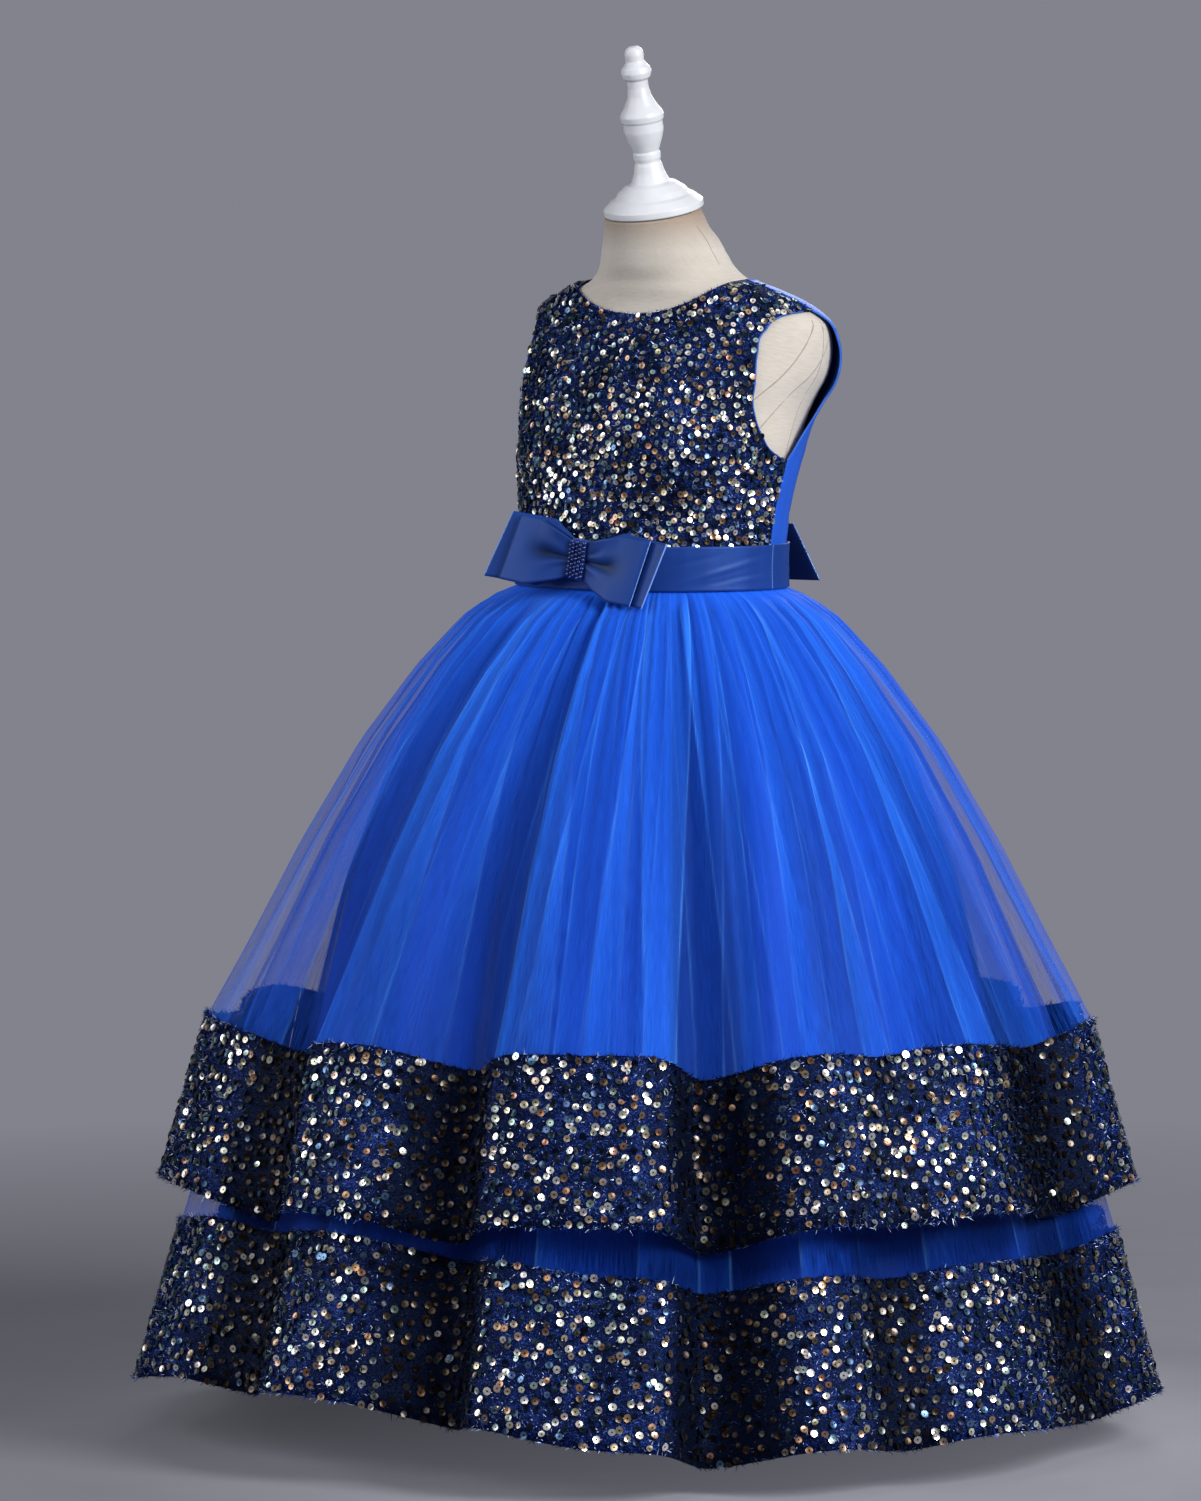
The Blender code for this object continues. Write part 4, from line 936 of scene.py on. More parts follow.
def edge_shade(angles, reach, shift=0.0):
    """Beside each strong strip's edge lies its fold's shadow: exp(-away / LEE), growing in over LEE_FROM."""
    past, strength, _ = pleat_edges(angles, reach, shift)
    beside = step_between(0, 0.25, -past) * np.exp(-np.maximum(-past, 0) / LEE)
    strong = np.clip(strength - 0.3, 0, 1) * step_between(*LEE_FROM, reach)
    return 1.5 * np.einsum("rs,rsa->ra", strong, beside)


# Where the upper band stands far out over what is under it: degrees, half width, and strength of its shade.
SHADED, SHADED_FROM = ((37, 6, 1.0), (66, 5, 0.9), (79, 9, 1.0)), (46 * CM, 54 * CM)


def overhang_shade(angles, reach):
    """The sum of the rows' bells, each times its strength, growing in over SHADED_FROM."""
    table = np.array(SHADED)
    return step_between(*SHADED_FROM, reach) * (table[:, 2] @ bell(angles, table[:, 0], table[:, 1]))[None, :]


# %% Tulle tiers: one thin sheet for each half
def drops_between(start, end, count):
    """Drops down a skirt, start + (end - start) share^1.3, so that they are closer together near the waist."""
    return start + (end - start) * np.linspace(0, 1, count) ** 1.3


# Each tier: outline, column of its folds' depth, how far out its cloth starts, the hem's lift, and its pleats.
TIERS = {
    "upper": (UPPER_SKIRT, "upper_depth", UPPER_OUT, 0.0, upper_creases),
    "lower": (LOWER_SKIRT, "lower_depth", LOWER_OUT, LIFT, lower_creases),
}
# Each tier's net: drop where it ends, finish, seed of its hairs, degrees its strips are moved, strength of its
# painted fold shade.
NETS = {
    "upper": (UPPER_BAND_DROP, upper_tulle, 11, 0.0, 0.7),
    "lower": (LOWER_BAND_DROP, lower_tulle, 12, 7.0, 1.25),
}


def tier_grid(tier, angles, drops, out=0.0):
    """A tier's cloth at these drops, moved out by `out`."""
    outline, column, waist_out, lift, creases = TIERS[tier]
    return skirt_grid(outline, column, angles, drops, waist_out + out, lift, creases)


def tulle_net(tier, side, columns=1080, rows=30):
    """Half of a tier's net, with its four numbers for each point."""
    end, finish, seed, shift, strength = NETS[tier]
    angles, drops = half_angles(side, columns), drops_between(0.0, end - SEAM / CM, rows)
    grid = tier_grid(tier, angles, drops, TULLE / 2)
    made = grid_piece(f"tulle_{tier}_{side}_net", grid, finish, (f"tulle_{tier}_{side}",))
    reach = reach_down(TIERS[tier][0], drops)
    shade = in_fold(angles, reach, strength, TIERS[tier][1])
    shade = shade + edge_shade(angles, reach, shift) + gather_shade(angles, reach)
    if tier == "lower":
        shade = shade + overhang_shade(angles, reach)
    attribute(made, "doubled", doubled_cloth(angles, reach, seed, shift)[::-1].ravel())
    attribute(made, "pleat_edge", hairlines(angles, reach, shift)[::-1].ravel())
    attribute(made, "in_fold", np.clip(shade, 0, 1)[::-1].ravel())
    attribute(made, "gathered", np.broadcast_to(gathered_cloth(grid), grid.shape[:2]).ravel())
    return made, grid


tulle = {(tier, side): tulle_net(tier, side) for side in ("front", "back") for tier in TIERS}
print("tulle:", {key: len(made.data.polygons) for key, (made, grid) in tulle.items()})

# %% [markdown]
# The satin underskirt is opaque and gives the skirt its depth of colour. It is one grid for each half with a
# wall from Solidify, and shallow folds of its own.

# %% The satin underskirt
underskirt = {}
for side in ("front", "back"):
    angles, drops = half_angles(side, 240), drops_between(0, UNDERSKIRT_HEM_DROP, 30)
    grid = skirt_grid(UNDERSKIRT, "lining_depth", angles, drops, UNDERSKIRT_OUT, creases=lower_creases)
    made = grid_piece(f"underskirt_{side}_satin", grid, lining_satin, (f"underskirt_{side}",),
                      SATIN)
    reach = reach_down(UNDERSKIRT, drops)
    shade = np.clip(in_fold(angles, reach) + overhang_shade(angles, reach), 0, 1)
    attribute(made, "in_fold", shade[::-1].ravel())
    underskirt[side] = made, grid

# %% [markdown]
# ## Sequin bands
#
# The bands are net covered in small foil discs, each sewn flat at its hole and tipped a little its own way.
# That makes each catch the light by itself. The net is a shell, and on each half all the discs are one
# joined mesh: thousands of shallow eight-sided cups, placed on an uneven lattice over the cloth. Ends of
# glitter yarn stand between them, and loose ends fringe the two long edges.

# %% The bands' net
BAND_DROPS = {"upper": (UPPER_BAND_DROP, UPPER_HEM_DROP), "lower": (LOWER_BAND_DROP, LOWER_HEM_DROP)}
BAND_COLUMNS, BAND_ROWS, BAND_NET = 400, 10, 1.2 * MM
AT_BANDS = np.array([[60 * CM]])  # bands hang where every fold is at its deepest, so one distance serves for all


def band_shade(tier, angles):
    """How deep in a fold each column of a band lies."""
    return in_fold(angles, AT_BANDS, 1.0, f"{tier}_depth")


bands = {}
for side in ("front", "back"):
    angles = half_angles(side, BAND_COLUMNS)
    for tier, drops in BAND_DROPS.items():
        grid = tier_grid(tier, angles, np.linspace(*drops, BAND_ROWS))
        made = grid_piece(f"band_{tier}_{side}_net", grid, sequin_net, (f"band_{tier}_{side}",),
                          BAND_NET)
        attribute(made, "in_fold", np.broadcast_to(band_shade(tier, angles), grid.shape[:2]).ravel())
        bands[tier, side] = made, grid

# %% The seam line where each band is sewn to its tulle
def seam_strip(grid, row, step):
    """A low navy arch along one row of a grid, 1.2 mm wide, that wavers a little up and down."""
    path = grid[row, ::step]
    up = path - grid[row - 1, ::step]
    out = unit(np.cross(np.gradient(path, axis=0), up))
    uneven = np.random.default_rng(len(path)).normal(0, 0.25 * MM, (len(path), 1)) * unit(up)
    return strip_along(path + out * 1.0 * MM + uneven, out, directions(path, out), 0.6 * MM, 0.6 * MM)


for (tier, side), (net, grid) in bands.items():
    grid_piece(f"band_{tier}_{side}_seam", seam_strip(grid, -1, 2), sequin_net)

# %% Reading a grid between its points
def read_grid(grid, row, column):
    """Point, outward normal and upward direction at fractional rows and columns, by bilinear blending."""
    r = np.clip(row.astype(int), 0, grid.shape[0] - 2)
    c = np.clip(column.astype(int), 0, grid.shape[1] - 2)
    fr, fc = (row - r)[:, None], (column - c)[:, None]
    a, b, d, e = grid[r, c], grid[r, c + 1], grid[r + 1, c], grid[r + 1, c + 1]
    point = (a * (1 - fc) + b * fc) * (1 - fr) + (d * (1 - fc) + e * fc) * fr
    right = (b - a) * (1 - fr) + (e - d) * fr
    up = (d - a) * (1 - fc) + (e - b) * fc
    return point, unit(np.cross(right, up)), unit(up)


def uneven_lattice(width, height, across, up, jitter, chance):
    """Places on a width by height cloth: rows `up` apart, each shifted by half a pitch, all moved at random."""
    rows, columns = max(int(height / up), 1), max(int(width / across), 1)
    row, column = np.meshgrid(np.arange(rows) + 0.5, np.arange(columns) + 0.5, indexing="ij")
    column = column + 0.5 * (row.astype(int) % 2) - 0.25
    u = (column + chance.uniform(-jitter, jitter, row.shape)) / columns
    v = (row + chance.uniform(-jitter, jitter, row.shape)) / rows
    return np.clip(u.ravel(), 0.001, 0.999), np.clip(v.ravel(), 0.012, 0.988)


# %% Colours of the foil
# Slow waves, in radians for each metre along x, y and z, and how far they move a disc's draw.
PATCH_WAVES, PATCHINESS = ((61, 19, 84), (-37, 78, 43), (92, -59, -66), (-71, -88, 102)), 0.30
# The last of the colours, nearly black, is painted shade: discs turned away from every lamp.
FOIL_SHARES = (0.23, 0.13, 0.13, 0.10, 0.07, 0.07, 0.27)
FOIL_COLOURS = (
    (1.0, 0.97, 0.88), (0.72, 0.60, 0.45), (0.46, 0.26, 0.15), (0.13, 0.09, 0.06),
    (0.40, 0.50, 0.47), (0.10, 0.18, 0.34), (0.006, 0.010, 0.04),
)


def foil_colours(points, chance):
    """Each disc draws a colour by share. Slow waves over the cloth shift the draw, making patches with more bright
    discs and patches with more of the nearly black discs of painted shade.
    """
    count = len(points)
    patch = sum(np.sin(points @ np.array(wave)) for wave in PATCH_WAVES) / len(PATCH_WAVES)
    draw = np.clip(chance.uniform(0, 1, count) + PATCHINESS * patch, 0, 0.999)
    which = np.searchsorted(np.cumsum(FOIL_SHARES), draw)
    colour = np.array(FOIL_COLOURS)[np.clip(which, 0, len(FOIL_COLOURS) - 1)]
    return colour * chance.uniform(0.75, 1.1, (count, 1)) * chance.uniform(0.92, 1.08, (count, 3))


# %% Discs and tinsel as joined meshes
BAND_DISC, BODICE_DISC = 3.0 * MM, 2.45 * MM
DISC_CUP, DISC_LIFT = 0.2, 0.9 * MM
CATCHING, CATCHING_SHADE = 0.12, 0.45  # the share of discs that still catch some light in a fold


def tipped(normal, up, degrees, chance):
    """Turns each normal by a random angle about a random direction in the cloth. Returns a frame for each."""
    across = unit(np.cross(up, normal))
    lean = np.tan(np.radians(chance.normal(0, degrees, (2, len(normal), 1)).clip(-40, 40)))
    out = unit(normal + across * lean[0] + up * lean[1])
    side = unit(np.cross(up, out))
    return out, side, np.cross(out, side)


def discs(name, points, normal, up, deep, chance, disc_radius=BAND_DISC, degrees=14):
    """Each disc: a centre point, and eight rim points r (cos(a) side + sin(a) along) that stand before it."""
    out, side, along = tipped(normal, up, degrees, chance)
    count = len(points)
    radius = disc_radius * chance.uniform(0.93, 1.15, (count, 1, 1))
    around = np.arange(8)
    turn = around * np.pi / 4
    centre = points + normal * (DISC_LIFT + chance.uniform(0, 0.9 * MM, (count, 1)))
    cosine, sine = np.cos(turn)[:, None], np.sin(turn)[:, None]
    rim = centre[:, None] + radius * (cosine * side[:, None] + sine * along[:, None])
    rim = rim + out[:, None] * DISC_CUP * disc_radius
    vertices = np.concatenate([centre[:, None], rim], axis=1).reshape(-1, 3)
    fan = np.stack([np.zeros(8, int), around + 1, (around + 1) % 8 + 1], axis=-1)
    faces = (np.arange(count)[:, None, None] * 9 + fan).reshape(-1, 3)
    made = put_mesh(name, vertices, faces)
    colour = np.repeat(foil_colours(points, chance), 9, axis=0)
    layer = made.data.attributes.new("foil", "FLOAT_COLOR", "POINT")
    layer.data.foreach_set("color", np.hstack([colour, np.ones((len(colour), 1))]).astype(np.float32).ravel())
    attribute(made, "rim", np.tile(np.array([0.0] + [1.0] * 8), count))
    catching = np.where(chance.uniform(0, 1, count) < CATCHING, CATCHING_SHADE, 1.0)
    attribute(made, "in_fold", np.repeat(deep * catching, 9))
    return finish_piece(made, sequin_foil)


def tinsel(name, points, normal, up, deep, chance, size=1.0):
    """Short ends of glitter yarn: a narrow triangle each, leaning out of the cloth at random."""
    out, side, along = tipped(normal, up, 30, chance)
    count = len(points)
    spin = chance.uniform(0, 2 * np.pi, (count, 1))
    across = (np.cos(spin) * side + np.sin(spin) * along) * 0.42 * MM
    lean = out + 0.8 * (np.sin(spin) * side - np.cos(spin) * along)
    tip = points + lean * chance.uniform(1.2, 3.2, (count, 1)) * size * MM
    vertices = np.stack([points - across, points + across, tip], axis=1).reshape(-1, 3)
    made = put_mesh(name, vertices, np.arange(3 * count).reshape(-1, 3))
    # Each end's tone: its highest values give the nearly white ends, which are painted glints.
    attribute(made, "glint", np.repeat(chance.uniform(0, 1, count) ** 1.5, 3))
    attribute(made, "in_fold", np.repeat(deep, 3))
    return finish_piece(made, glitter_yarn)


# Each kind: its pitch across and up, and how far it strays from its place, as a share of the pitch.
SCATTER = {"sequins": (10.0 * MM, 8.8 * MM, 0.47), "tinsel": (2.1 * MM, 2.1 * MM, 0.5)}
SEEDS = {("upper", "front"): 20, ("upper", "back"): 21, ("lower", "front"): 40, ("lower", "back"): 41}
LOOSE_ENDS, LOOSE_SIZE = 3200, 1.8
for (tier, side), (_, grid) in bands.items():
    chance = np.random.default_rng(SEEDS[tier, side])
    width, height = lengths(grid, 1)[BAND_ROWS // 2, -1], lengths(grid, 0)[-1].mean()
    shade = band_shade(tier, half_angles(side, BAND_COLUMNS))[0]
    for kind, (across, along, jitter) in SCATTER.items():
        u, v = uneven_lattice(width, height, across, along, jitter, chance)
        size = np.ones((len(u), 1))
        if kind == "tinsel":
            u, v = np.append(u, chance.uniform(0, 1, LOOSE_ENDS)), np.append(v, np.arange(LOOSE_ENDS) % 2)
            size = np.append(size, np.full((LOOSE_ENDS, 1), LOOSE_SIZE), axis=0)
        point, normal, up = read_grid(grid, v * (BAND_ROWS - 1), u * (BAND_COLUMNS - 1))
        deep = np.interp(u, np.linspace(0, 1, BAND_COLUMNS), shade)
        placed = point + normal * BAND_NET, normal, up, deep, chance
        name = f"band_{tier}_{side}_{kind}"
        made = discs(name, *placed) if kind == "sequins" else tinsel(name, *placed, size)
        print(made.name, len(point))

# %% [markdown]
# ## Bodice
#
# The front is one piece of sequin net. Half of it is a grid that runs from the middle, or the neck's edge, out
# to the side seam, or the armhole's edge. The other half is its mirror image, with the columns turned round so
# that the faces still look outwards.

# %% Bodice front and its mirrored grids
def spread_angles(start, end, count):
    """Evenly spaced angles from start to end in each row."""
    start, end = np.broadcast_arrays(start, end)
    return start[:, None] + (end - start)[:, None] * np.linspace(0, 1, count)


def bodice_rows(extra):
    """Heights of the bodice's rows, closer together up the armholes, with a row at each of the extra heights."""
    armpit = ARMHOLE[0][0]
    below, above = np.arange(WAIST_ROW, armpit, 0.7), np.arange(armpit, NECK_POINT, 0.2)
    return np.unique(np.concatenate([below, above, [NECK_POINT], extra]).round(3)) * CM


def mirrored(grid):
    """The other side's grid: x changes sign, and the columns turn round."""
    return grid[:, ::-1] * (-1, 1, 1)


def front_half(out, columns=44):
    """Half the front at `out` metres from the figure's surface."""
    heights = bodice_rows([row[0] for row in FRONT_NECK])
    side = armhole_edge(heights, "front_degrees") - HALF_SEAM_TURN
    angles = spread_angles(np.minimum(neck_edge(heights, FRONT_NECK), side), side, columns)
    grid = figure_points(angles, heights[:, None], out)
    grid[:, 0, 0] = np.where(angles[:, 0] <= 0, 0, grid[:, 0, 0])
    return grid


half = front_half(-SEQUIN_CLOTH)
bodice_front = joined_grids("bodice_front_net", [mirrored(half), half], sequin_net, ("bodice_front",),
                            1.4 * MM)
close_seams(bodice_front)


# %% Sequins on the bodice front
SEQUINS_FROM, SEQUINS_TO, BUST = WAIST_ROW * CM + 1 * MM, 97.4 * CM, 85 * CM
BARE_EDGE = 1.6 * MM / (12 * CM)  # as an angle, 12 cm from the axis


def bodice_sequins(across, along, jitter, seed):
    """An uneven lattice of (angle, height), kept where it lies between the neck's edge and the armhole's."""
    chance = np.random.default_rng(seed)
    fine = np.linspace(-np.pi / 2, np.pi / 2, 400)
    girth = lengths(figure_surface(fine, np.full(400, BUST)), 0)
    u, v = uneven_lattice(girth[-1], SEQUINS_TO - SEQUINS_FROM, across, along, jitter, chance)
    angle, height = np.interp(u * girth[-1], girth, fine), SEQUINS_FROM + v * (SEQUINS_TO - SEQUINS_FROM)
    neck = neck_edge(height, FRONT_NECK) + BARE_EDGE * (height > 94.5 * CM)
    keep = (np.abs(angle) < armhole_edge(height, "front_degrees") - BARE_EDGE) & (np.abs(angle) > neck)
    angle, height = angle[keep], height[keep]
    point = figure_points(angle, height, -0.6 * MM)
    up = figure_points(angle, height + 1e-4, 0.0) - figure_points(angle, height, 0.0)
    return point, unit(figure_points(angle, height, 1 * MM) - point), unit(up), np.zeros(len(point)), chance


bodice_discs = discs("bodice_front_sequins", *bodice_sequins(6.9 * MM, 6.1 * MM, 0.42, 60), BODICE_DISC)
tinsel("bodice_front_tinsel", *bodice_sequins(2.0 * MM, 2.0 * MM, 0.5, 61))
print("bodice sequins:", len(bodice_discs.data.polygons) // 8)

# %% [markdown]
# The backs are smooth satin either side of the zip. Each armhole's back edge stands a little off the form.
# Satin that is fitted over a figure still has faint drag lines, so a few shallow creases are listed.

# %% Creases along straight lines of cloth
def line_creases(across, up, table):
    """Ridges (or troughs, below 0) along straight lines, a bell curve across each, fading towards its ends.

    Each row of the table: across and up in metres where the line starts and ends, half width and height in mm.
    """
    ridges = np.zeros(np.broadcast_shapes(across.shape, up.shape))
    for x0, y0, x1, y1, half_width, height in table:
        dx, dy = x1 - x0, y1 - y0
        share = np.clip(((across - x0) * dx + (up - y0) * dy) / (dx * dx + dy * dy), 0, 1)
        away = np.hypot(across - x0 - share * dx, up - y0 - share * dy)
        ridges += height * MM * np.exp(-((away / (half_width * MM)) ** 2)) * np.sin(np.pi * share) ** 0.7
    return ridges


# %% Bodice backs
BACK_CREASES = (
    (0.015, 0.75, 0.075, 0.775, 4, 0.5), (0.02, 0.79, 0.10, 0.76, 5, -0.5), (0.03, 0.82, 0.09, 0.85, 5, 0.4),
    (0.02, 0.86, 0.05, 0.90, 4, 0.5), (0.05, 0.93, 0.10, 0.90, 5, -0.4), (0.10, 0.80, 0.16, 0.83, 6, 0.4),
    (0.01, 0.84, 0.03, 0.80, 3, -0.4),
)


def armhole_gape(heights):
    """How far the back's edge of the armhole stands off the form: GAPE sin(pi share), 0 at either end."""
    lowest, highest = ARMHOLE[0][0] * CM, ARMHOLE[-1][0] * CM
    return GAPE * np.sin(np.pi * np.clip((heights - lowest) / (highest - lowest), 0, 1))


def back_half(out, columns=60):
    """From the side seam, armhole or shoulder seam to the zip. The armhole's edge gapes as a smooth swell."""
    heights = bodice_rows([row[0] for row in BACK_NECK])
    side = armhole_edge(heights, "back_degrees") + HALF_SEAM_TURN
    middle = np.maximum(np.pi - HALF_SEAM_TURN - neck_edge(heights, BACK_NECK), side)
    angles = spread_angles(side, middle, columns)
    from_edge = angles - side[:, None]
    gape = armhole_gape(heights)[:, None] * np.exp(-((from_edge / GAPE_REACH) ** 2))
    drag = line_creases(from_edge * 12 * CM, heights[:, None], BACK_CREASES)
    return figure_points(angles, heights[:, None], gape + drag + out)


back = back_half(-SATIN)
back_left, back_right = (
    grid_piece(f"bodice_back_{hand}_satin", grid, royal_satin, (f"bodice_back_{hand}",), SATIN)
    for hand, grid in (("left", back), ("right", mirrored(back))))

# %% [markdown]
# The armholes and the back of the neck have a narrow bound edge, which catches the light as a fine blue line.
# It is a small round profile carried along each opening: a circle in the plane of the outward normal and the
# sideways direction at every point of the path. The front of the neck is navy net with ends of glitter yarn.

# %% Bound edges of the openings
def tube(path, out, radius, sides=8):
    """Points path + r (cos(a) out + sin(a) across): a ring of `sides` points at each point of the path."""
    across = directions(path, out)
    turn = np.linspace(0, 2 * np.pi, sides + 1)
    ring = np.cos(turn)[:, None, None] * out[None] + np.sin(turn)[:, None, None] * across[None]
    return path[None] + radius * ring


def surface_path(angles, heights, out):
    """A path on the figure, with the outward direction at each of its points."""
    path = figure_points(angles, heights, out)
    return path, unit(figure_points(angles, heights, out + 1 * MM) - path)


def neck_path(opening):
    """An opening's half widths, angles from its middle, and heights, from one shoulder to the other."""
    table, half = np.array(opening), np.linspace(-7.5, 7.5, 120)
    heights = np.interp(np.abs(half), table[:, 1], table[:, 0]) * CM
    return half, np.arcsin(np.clip(half / figure(heights, "half_width"), -1, 1)), heights


def opening_edges():
    """The name of each edge, with its path and the outward direction along it."""
    half, angles, heights = neck_path(FRONT_NECK)
    yield "neck_front", surface_path(angles, heights, -SEQUIN_CLOTH / 2)
    half, angles, heights = neck_path(BACK_NECK)
    for hand, part in (("left", half > 0.05), ("right", half < -0.05)):
        yield f"neck_back_{hand}", surface_path(np.pi - angles[part], heights[part], -SATIN / 2)
    heights = np.linspace(ARMHOLE[0][0], ARMHOLE[-1][0], 110) * CM
    for hand, sign in (("left", 1), ("right", -1)):
        front = sign * (armhole_edge(heights, "front_degrees") - HALF_SEAM_TURN)
        yield f"armhole_front_{hand}", surface_path(front, heights, -SEQUIN_CLOTH / 2)
        rear = sign * (armhole_edge(heights, "back_degrees") + HALF_SEAM_TURN)
        yield f"armhole_back_{hand}", surface_path(rear, heights, armhole_gape(heights) - SATIN / 2)


EDGE_RADIUS, NECK_ENDS = 0.75 * MM, 5
for name, (path, out) in opening_edges():
    if name == "neck_front":
        edge = grid_piece(f"{name}_edge", tube(path, out, EDGE_RADIUS), sequin_net)
        chance = np.random.default_rng(70)
        ends, outward, across = (rows[4:-4].repeat(NECK_ENDS, axis=0)
                                 for rows in (path, out, directions(path, out)))
        ends = ends + chance.normal(0, 0.5 * MM, ends.shape)
        tinsel("neck_front_tinsel", ends, outward, across, np.zeros(len(ends)), chance)
    else:
        edge = grid_piece(f"{name}_edge", tube(path, out, EDGE_RADIUS), thread_finish)
    close_seams(edge)

# %% [markdown]
# ## Belt
#
# The belt is a satin ribbon sewn in at the side seams. It is drawn round the waist, so it lies smooth with a
# few slanting drag lines near the left side seam. A narrow selvedge thickens both of its long edges.

# %% The belt's ribbon
BELT_CREASES = (
    (0.075, 0.722, 0.150, 0.742, 1.6, 0.45), (0.088, 0.720, 0.168, 0.733, 1.3, -0.4),
    (0.098, 0.730, 0.172, 0.744, 1.5, 0.4), (0.060, 0.735, 0.120, 0.748, 2.2, -0.35),
    (0.120, 0.724, 0.176, 0.728, 1.2, 0.45), (0.130, 0.742, 0.178, 0.749, 1.6, -0.35),
    (-0.170, 0.722, -0.100, 0.735, 1.8, 0.4), (-0.178, 0.740, -0.120, 0.746, 1.6, -0.35),
    (-0.160, 0.734, -0.09, 0.744, 2.2, 0.3), (0.200, 0.724, 0.260, 0.738, 2.0, 0.35),
    (0.280, 0.745, 0.335, 0.728, 2.2, -0.35), (-0.250, 0.728, -0.200, 0.742, 2.0, 0.35),
    (-0.330, 0.740, -0.285, 0.726, 2.0, -0.3),
)
SELVEDGE, SELVEDGE_FROM, BELT_RADIUS = 0.15 * MM, 17.4 * MM, 11.2 * CM
BELT_MIDDLE = (BELT_BOTTOM + BELT_TOP) / 2


def belt_grid(start, end, columns):
    """The belt's inner face: the figure moved out by BELT_OUT, with creases along lines of (girth, height)."""
    heights = np.linspace(BELT_BOTTOM, BELT_TOP, 22)
    edge = math.degrees(HALF_SEAM_TURN)
    angles = np.radians(np.linspace(start + edge, end - edge, columns))
    creases = line_creases(angles[None, :] * BELT_RADIUS, heights[:, None], BELT_CREASES)
    selvedge = SELVEDGE * (np.abs(heights - BELT_MIDDLE) > SELVEDGE_FROM)[:, None]
    return figure_points(angles[None, :], heights[:, None], BELT_OUT + creases + selvedge)


def from_ends(grid, *ends):
    """Each point's distance in metres from the nearest of these ends of its row, for a pale frayed line there."""
    across = lengths(grid, 1)
    away = {"first": across, "last": across[:, -1:] - across}
    return np.minimum.reduce([np.ones(across.shape), *(away[end] for end in ends)])


belt = {}
for name, start, end, columns, ends in (
        ("belt_front", -90, 90, 180, ["last"]), ("belt_back_left", 90, 180, 100, []),
        ("belt_back_right", 180, 270, 100, [])):
    grid = belt_grid(start, end, columns)
    made = grid_piece(f"{name}_ribbon", grid, ribbon_satin, (name,), SATIN)
    attribute(made, "edge", from_ends(grid, *ends).ravel())
    belt[name] = made, grid
print("belt:", [len(made.data.polygons) for made, grid in belt.values()])

# %% [markdown]
# ## Bows
#
# Each bow is a ribbon sewn into a loop, pinched in the middle and held by a knot. The front bow has a second,
# flat ribbon under it. The loop is a profile that runs out along the front layer and back along the rear one,
# swept up the ribbon's width. Pleats spread from the knot as ridges that soften towards the loop's end.

# %% Sizes of the bows
BOW_TURN, BOW_HEIGHT = math.radians(8.5), 0.7425
BOW_FLARE, BOW_LEAN = 1.3 * CM, 0.2
PINCH, PINCHED_HEIGHT, KNOT_HALF = 2.5 * MM, 3.0 * CM, 0.8 * CM
LOOP_PUFF, LOOP_CREASE = 6 * MM, 3 * MM
# Each ribbon: half length and height in cm, slant of its ends, and lean forward of its lower edge.
BOW_RIBBONS = {
    "bow_front_ribbon": (8.0, 5.7, 0.21, BOW_LEAN),
    "bow_front_loops": (6.6, 5.6, 0.12, BOW_LEAN),
    "bow_back_loops": (8.7, 4.8, -0.5, 0.1),
}


def bow_sizes(name):
    """A ribbon's row of the table, with its lengths in metres."""
    half_length, height, slant, lean = BOW_RIBBONS[name]
    return half_length * CM, height * CM, slant, lean


def past_knot(along, half_length):
    """0 inside the knot, growing to 1 at the bow's end."""
    return np.clip((np.abs(along) - KNOT_HALF) / (half_length - KNOT_HALF), 0, 1)


def bow_place(grid, back_of_knot, front, flare, lean):
    """Stands a bow's own (along, forward, up) points on the gown, bent forward at its ends and lower edge."""
    along, forward, up = grid[..., 0], grid[..., 1], grid[..., 2]
    forward = forward + flare * (along / (9 * CM)) ** 2 - lean * up * past_knot(along, 4 * CM)
    turn = BOW_TURN if front else 0
    x = along * math.cos(turn) + up * math.sin(turn)
    z = -along * math.sin(turn) + up * math.cos(turn) + BOW_HEIGHT
    side = -1 if front else 1
    return np.stack([-side * x, side * (back_of_knot + forward), z], axis=-1)


# %% Loops of a bow
# Each pleat: its place as a share of the ribbon's width, how far out it reaches, and its height in mm.
PLEAT_LINES = ((-0.34, 0.45, 0.8), (-0.02, 0.85, -2.6), (0.22, 0.5, 0.9), (0.40, 0.35, -0.8))


def knot_pleats(across, past):
    """Ridges that all start inside the knot, and spread and widen on their way out from it."""
    ridges = 0 * across * past
    for share, length, height in PLEAT_LINES:
        away = (across - share * (0.35 + 0.65 * past)) / (0.07 + 0.13 * past)
        ridges = ridges + height * MM * np.exp(-(away**2)) * (1 - step_between(length * 0.4, length, past))
    return ridges * step_between(-0.2, 0.15, past)


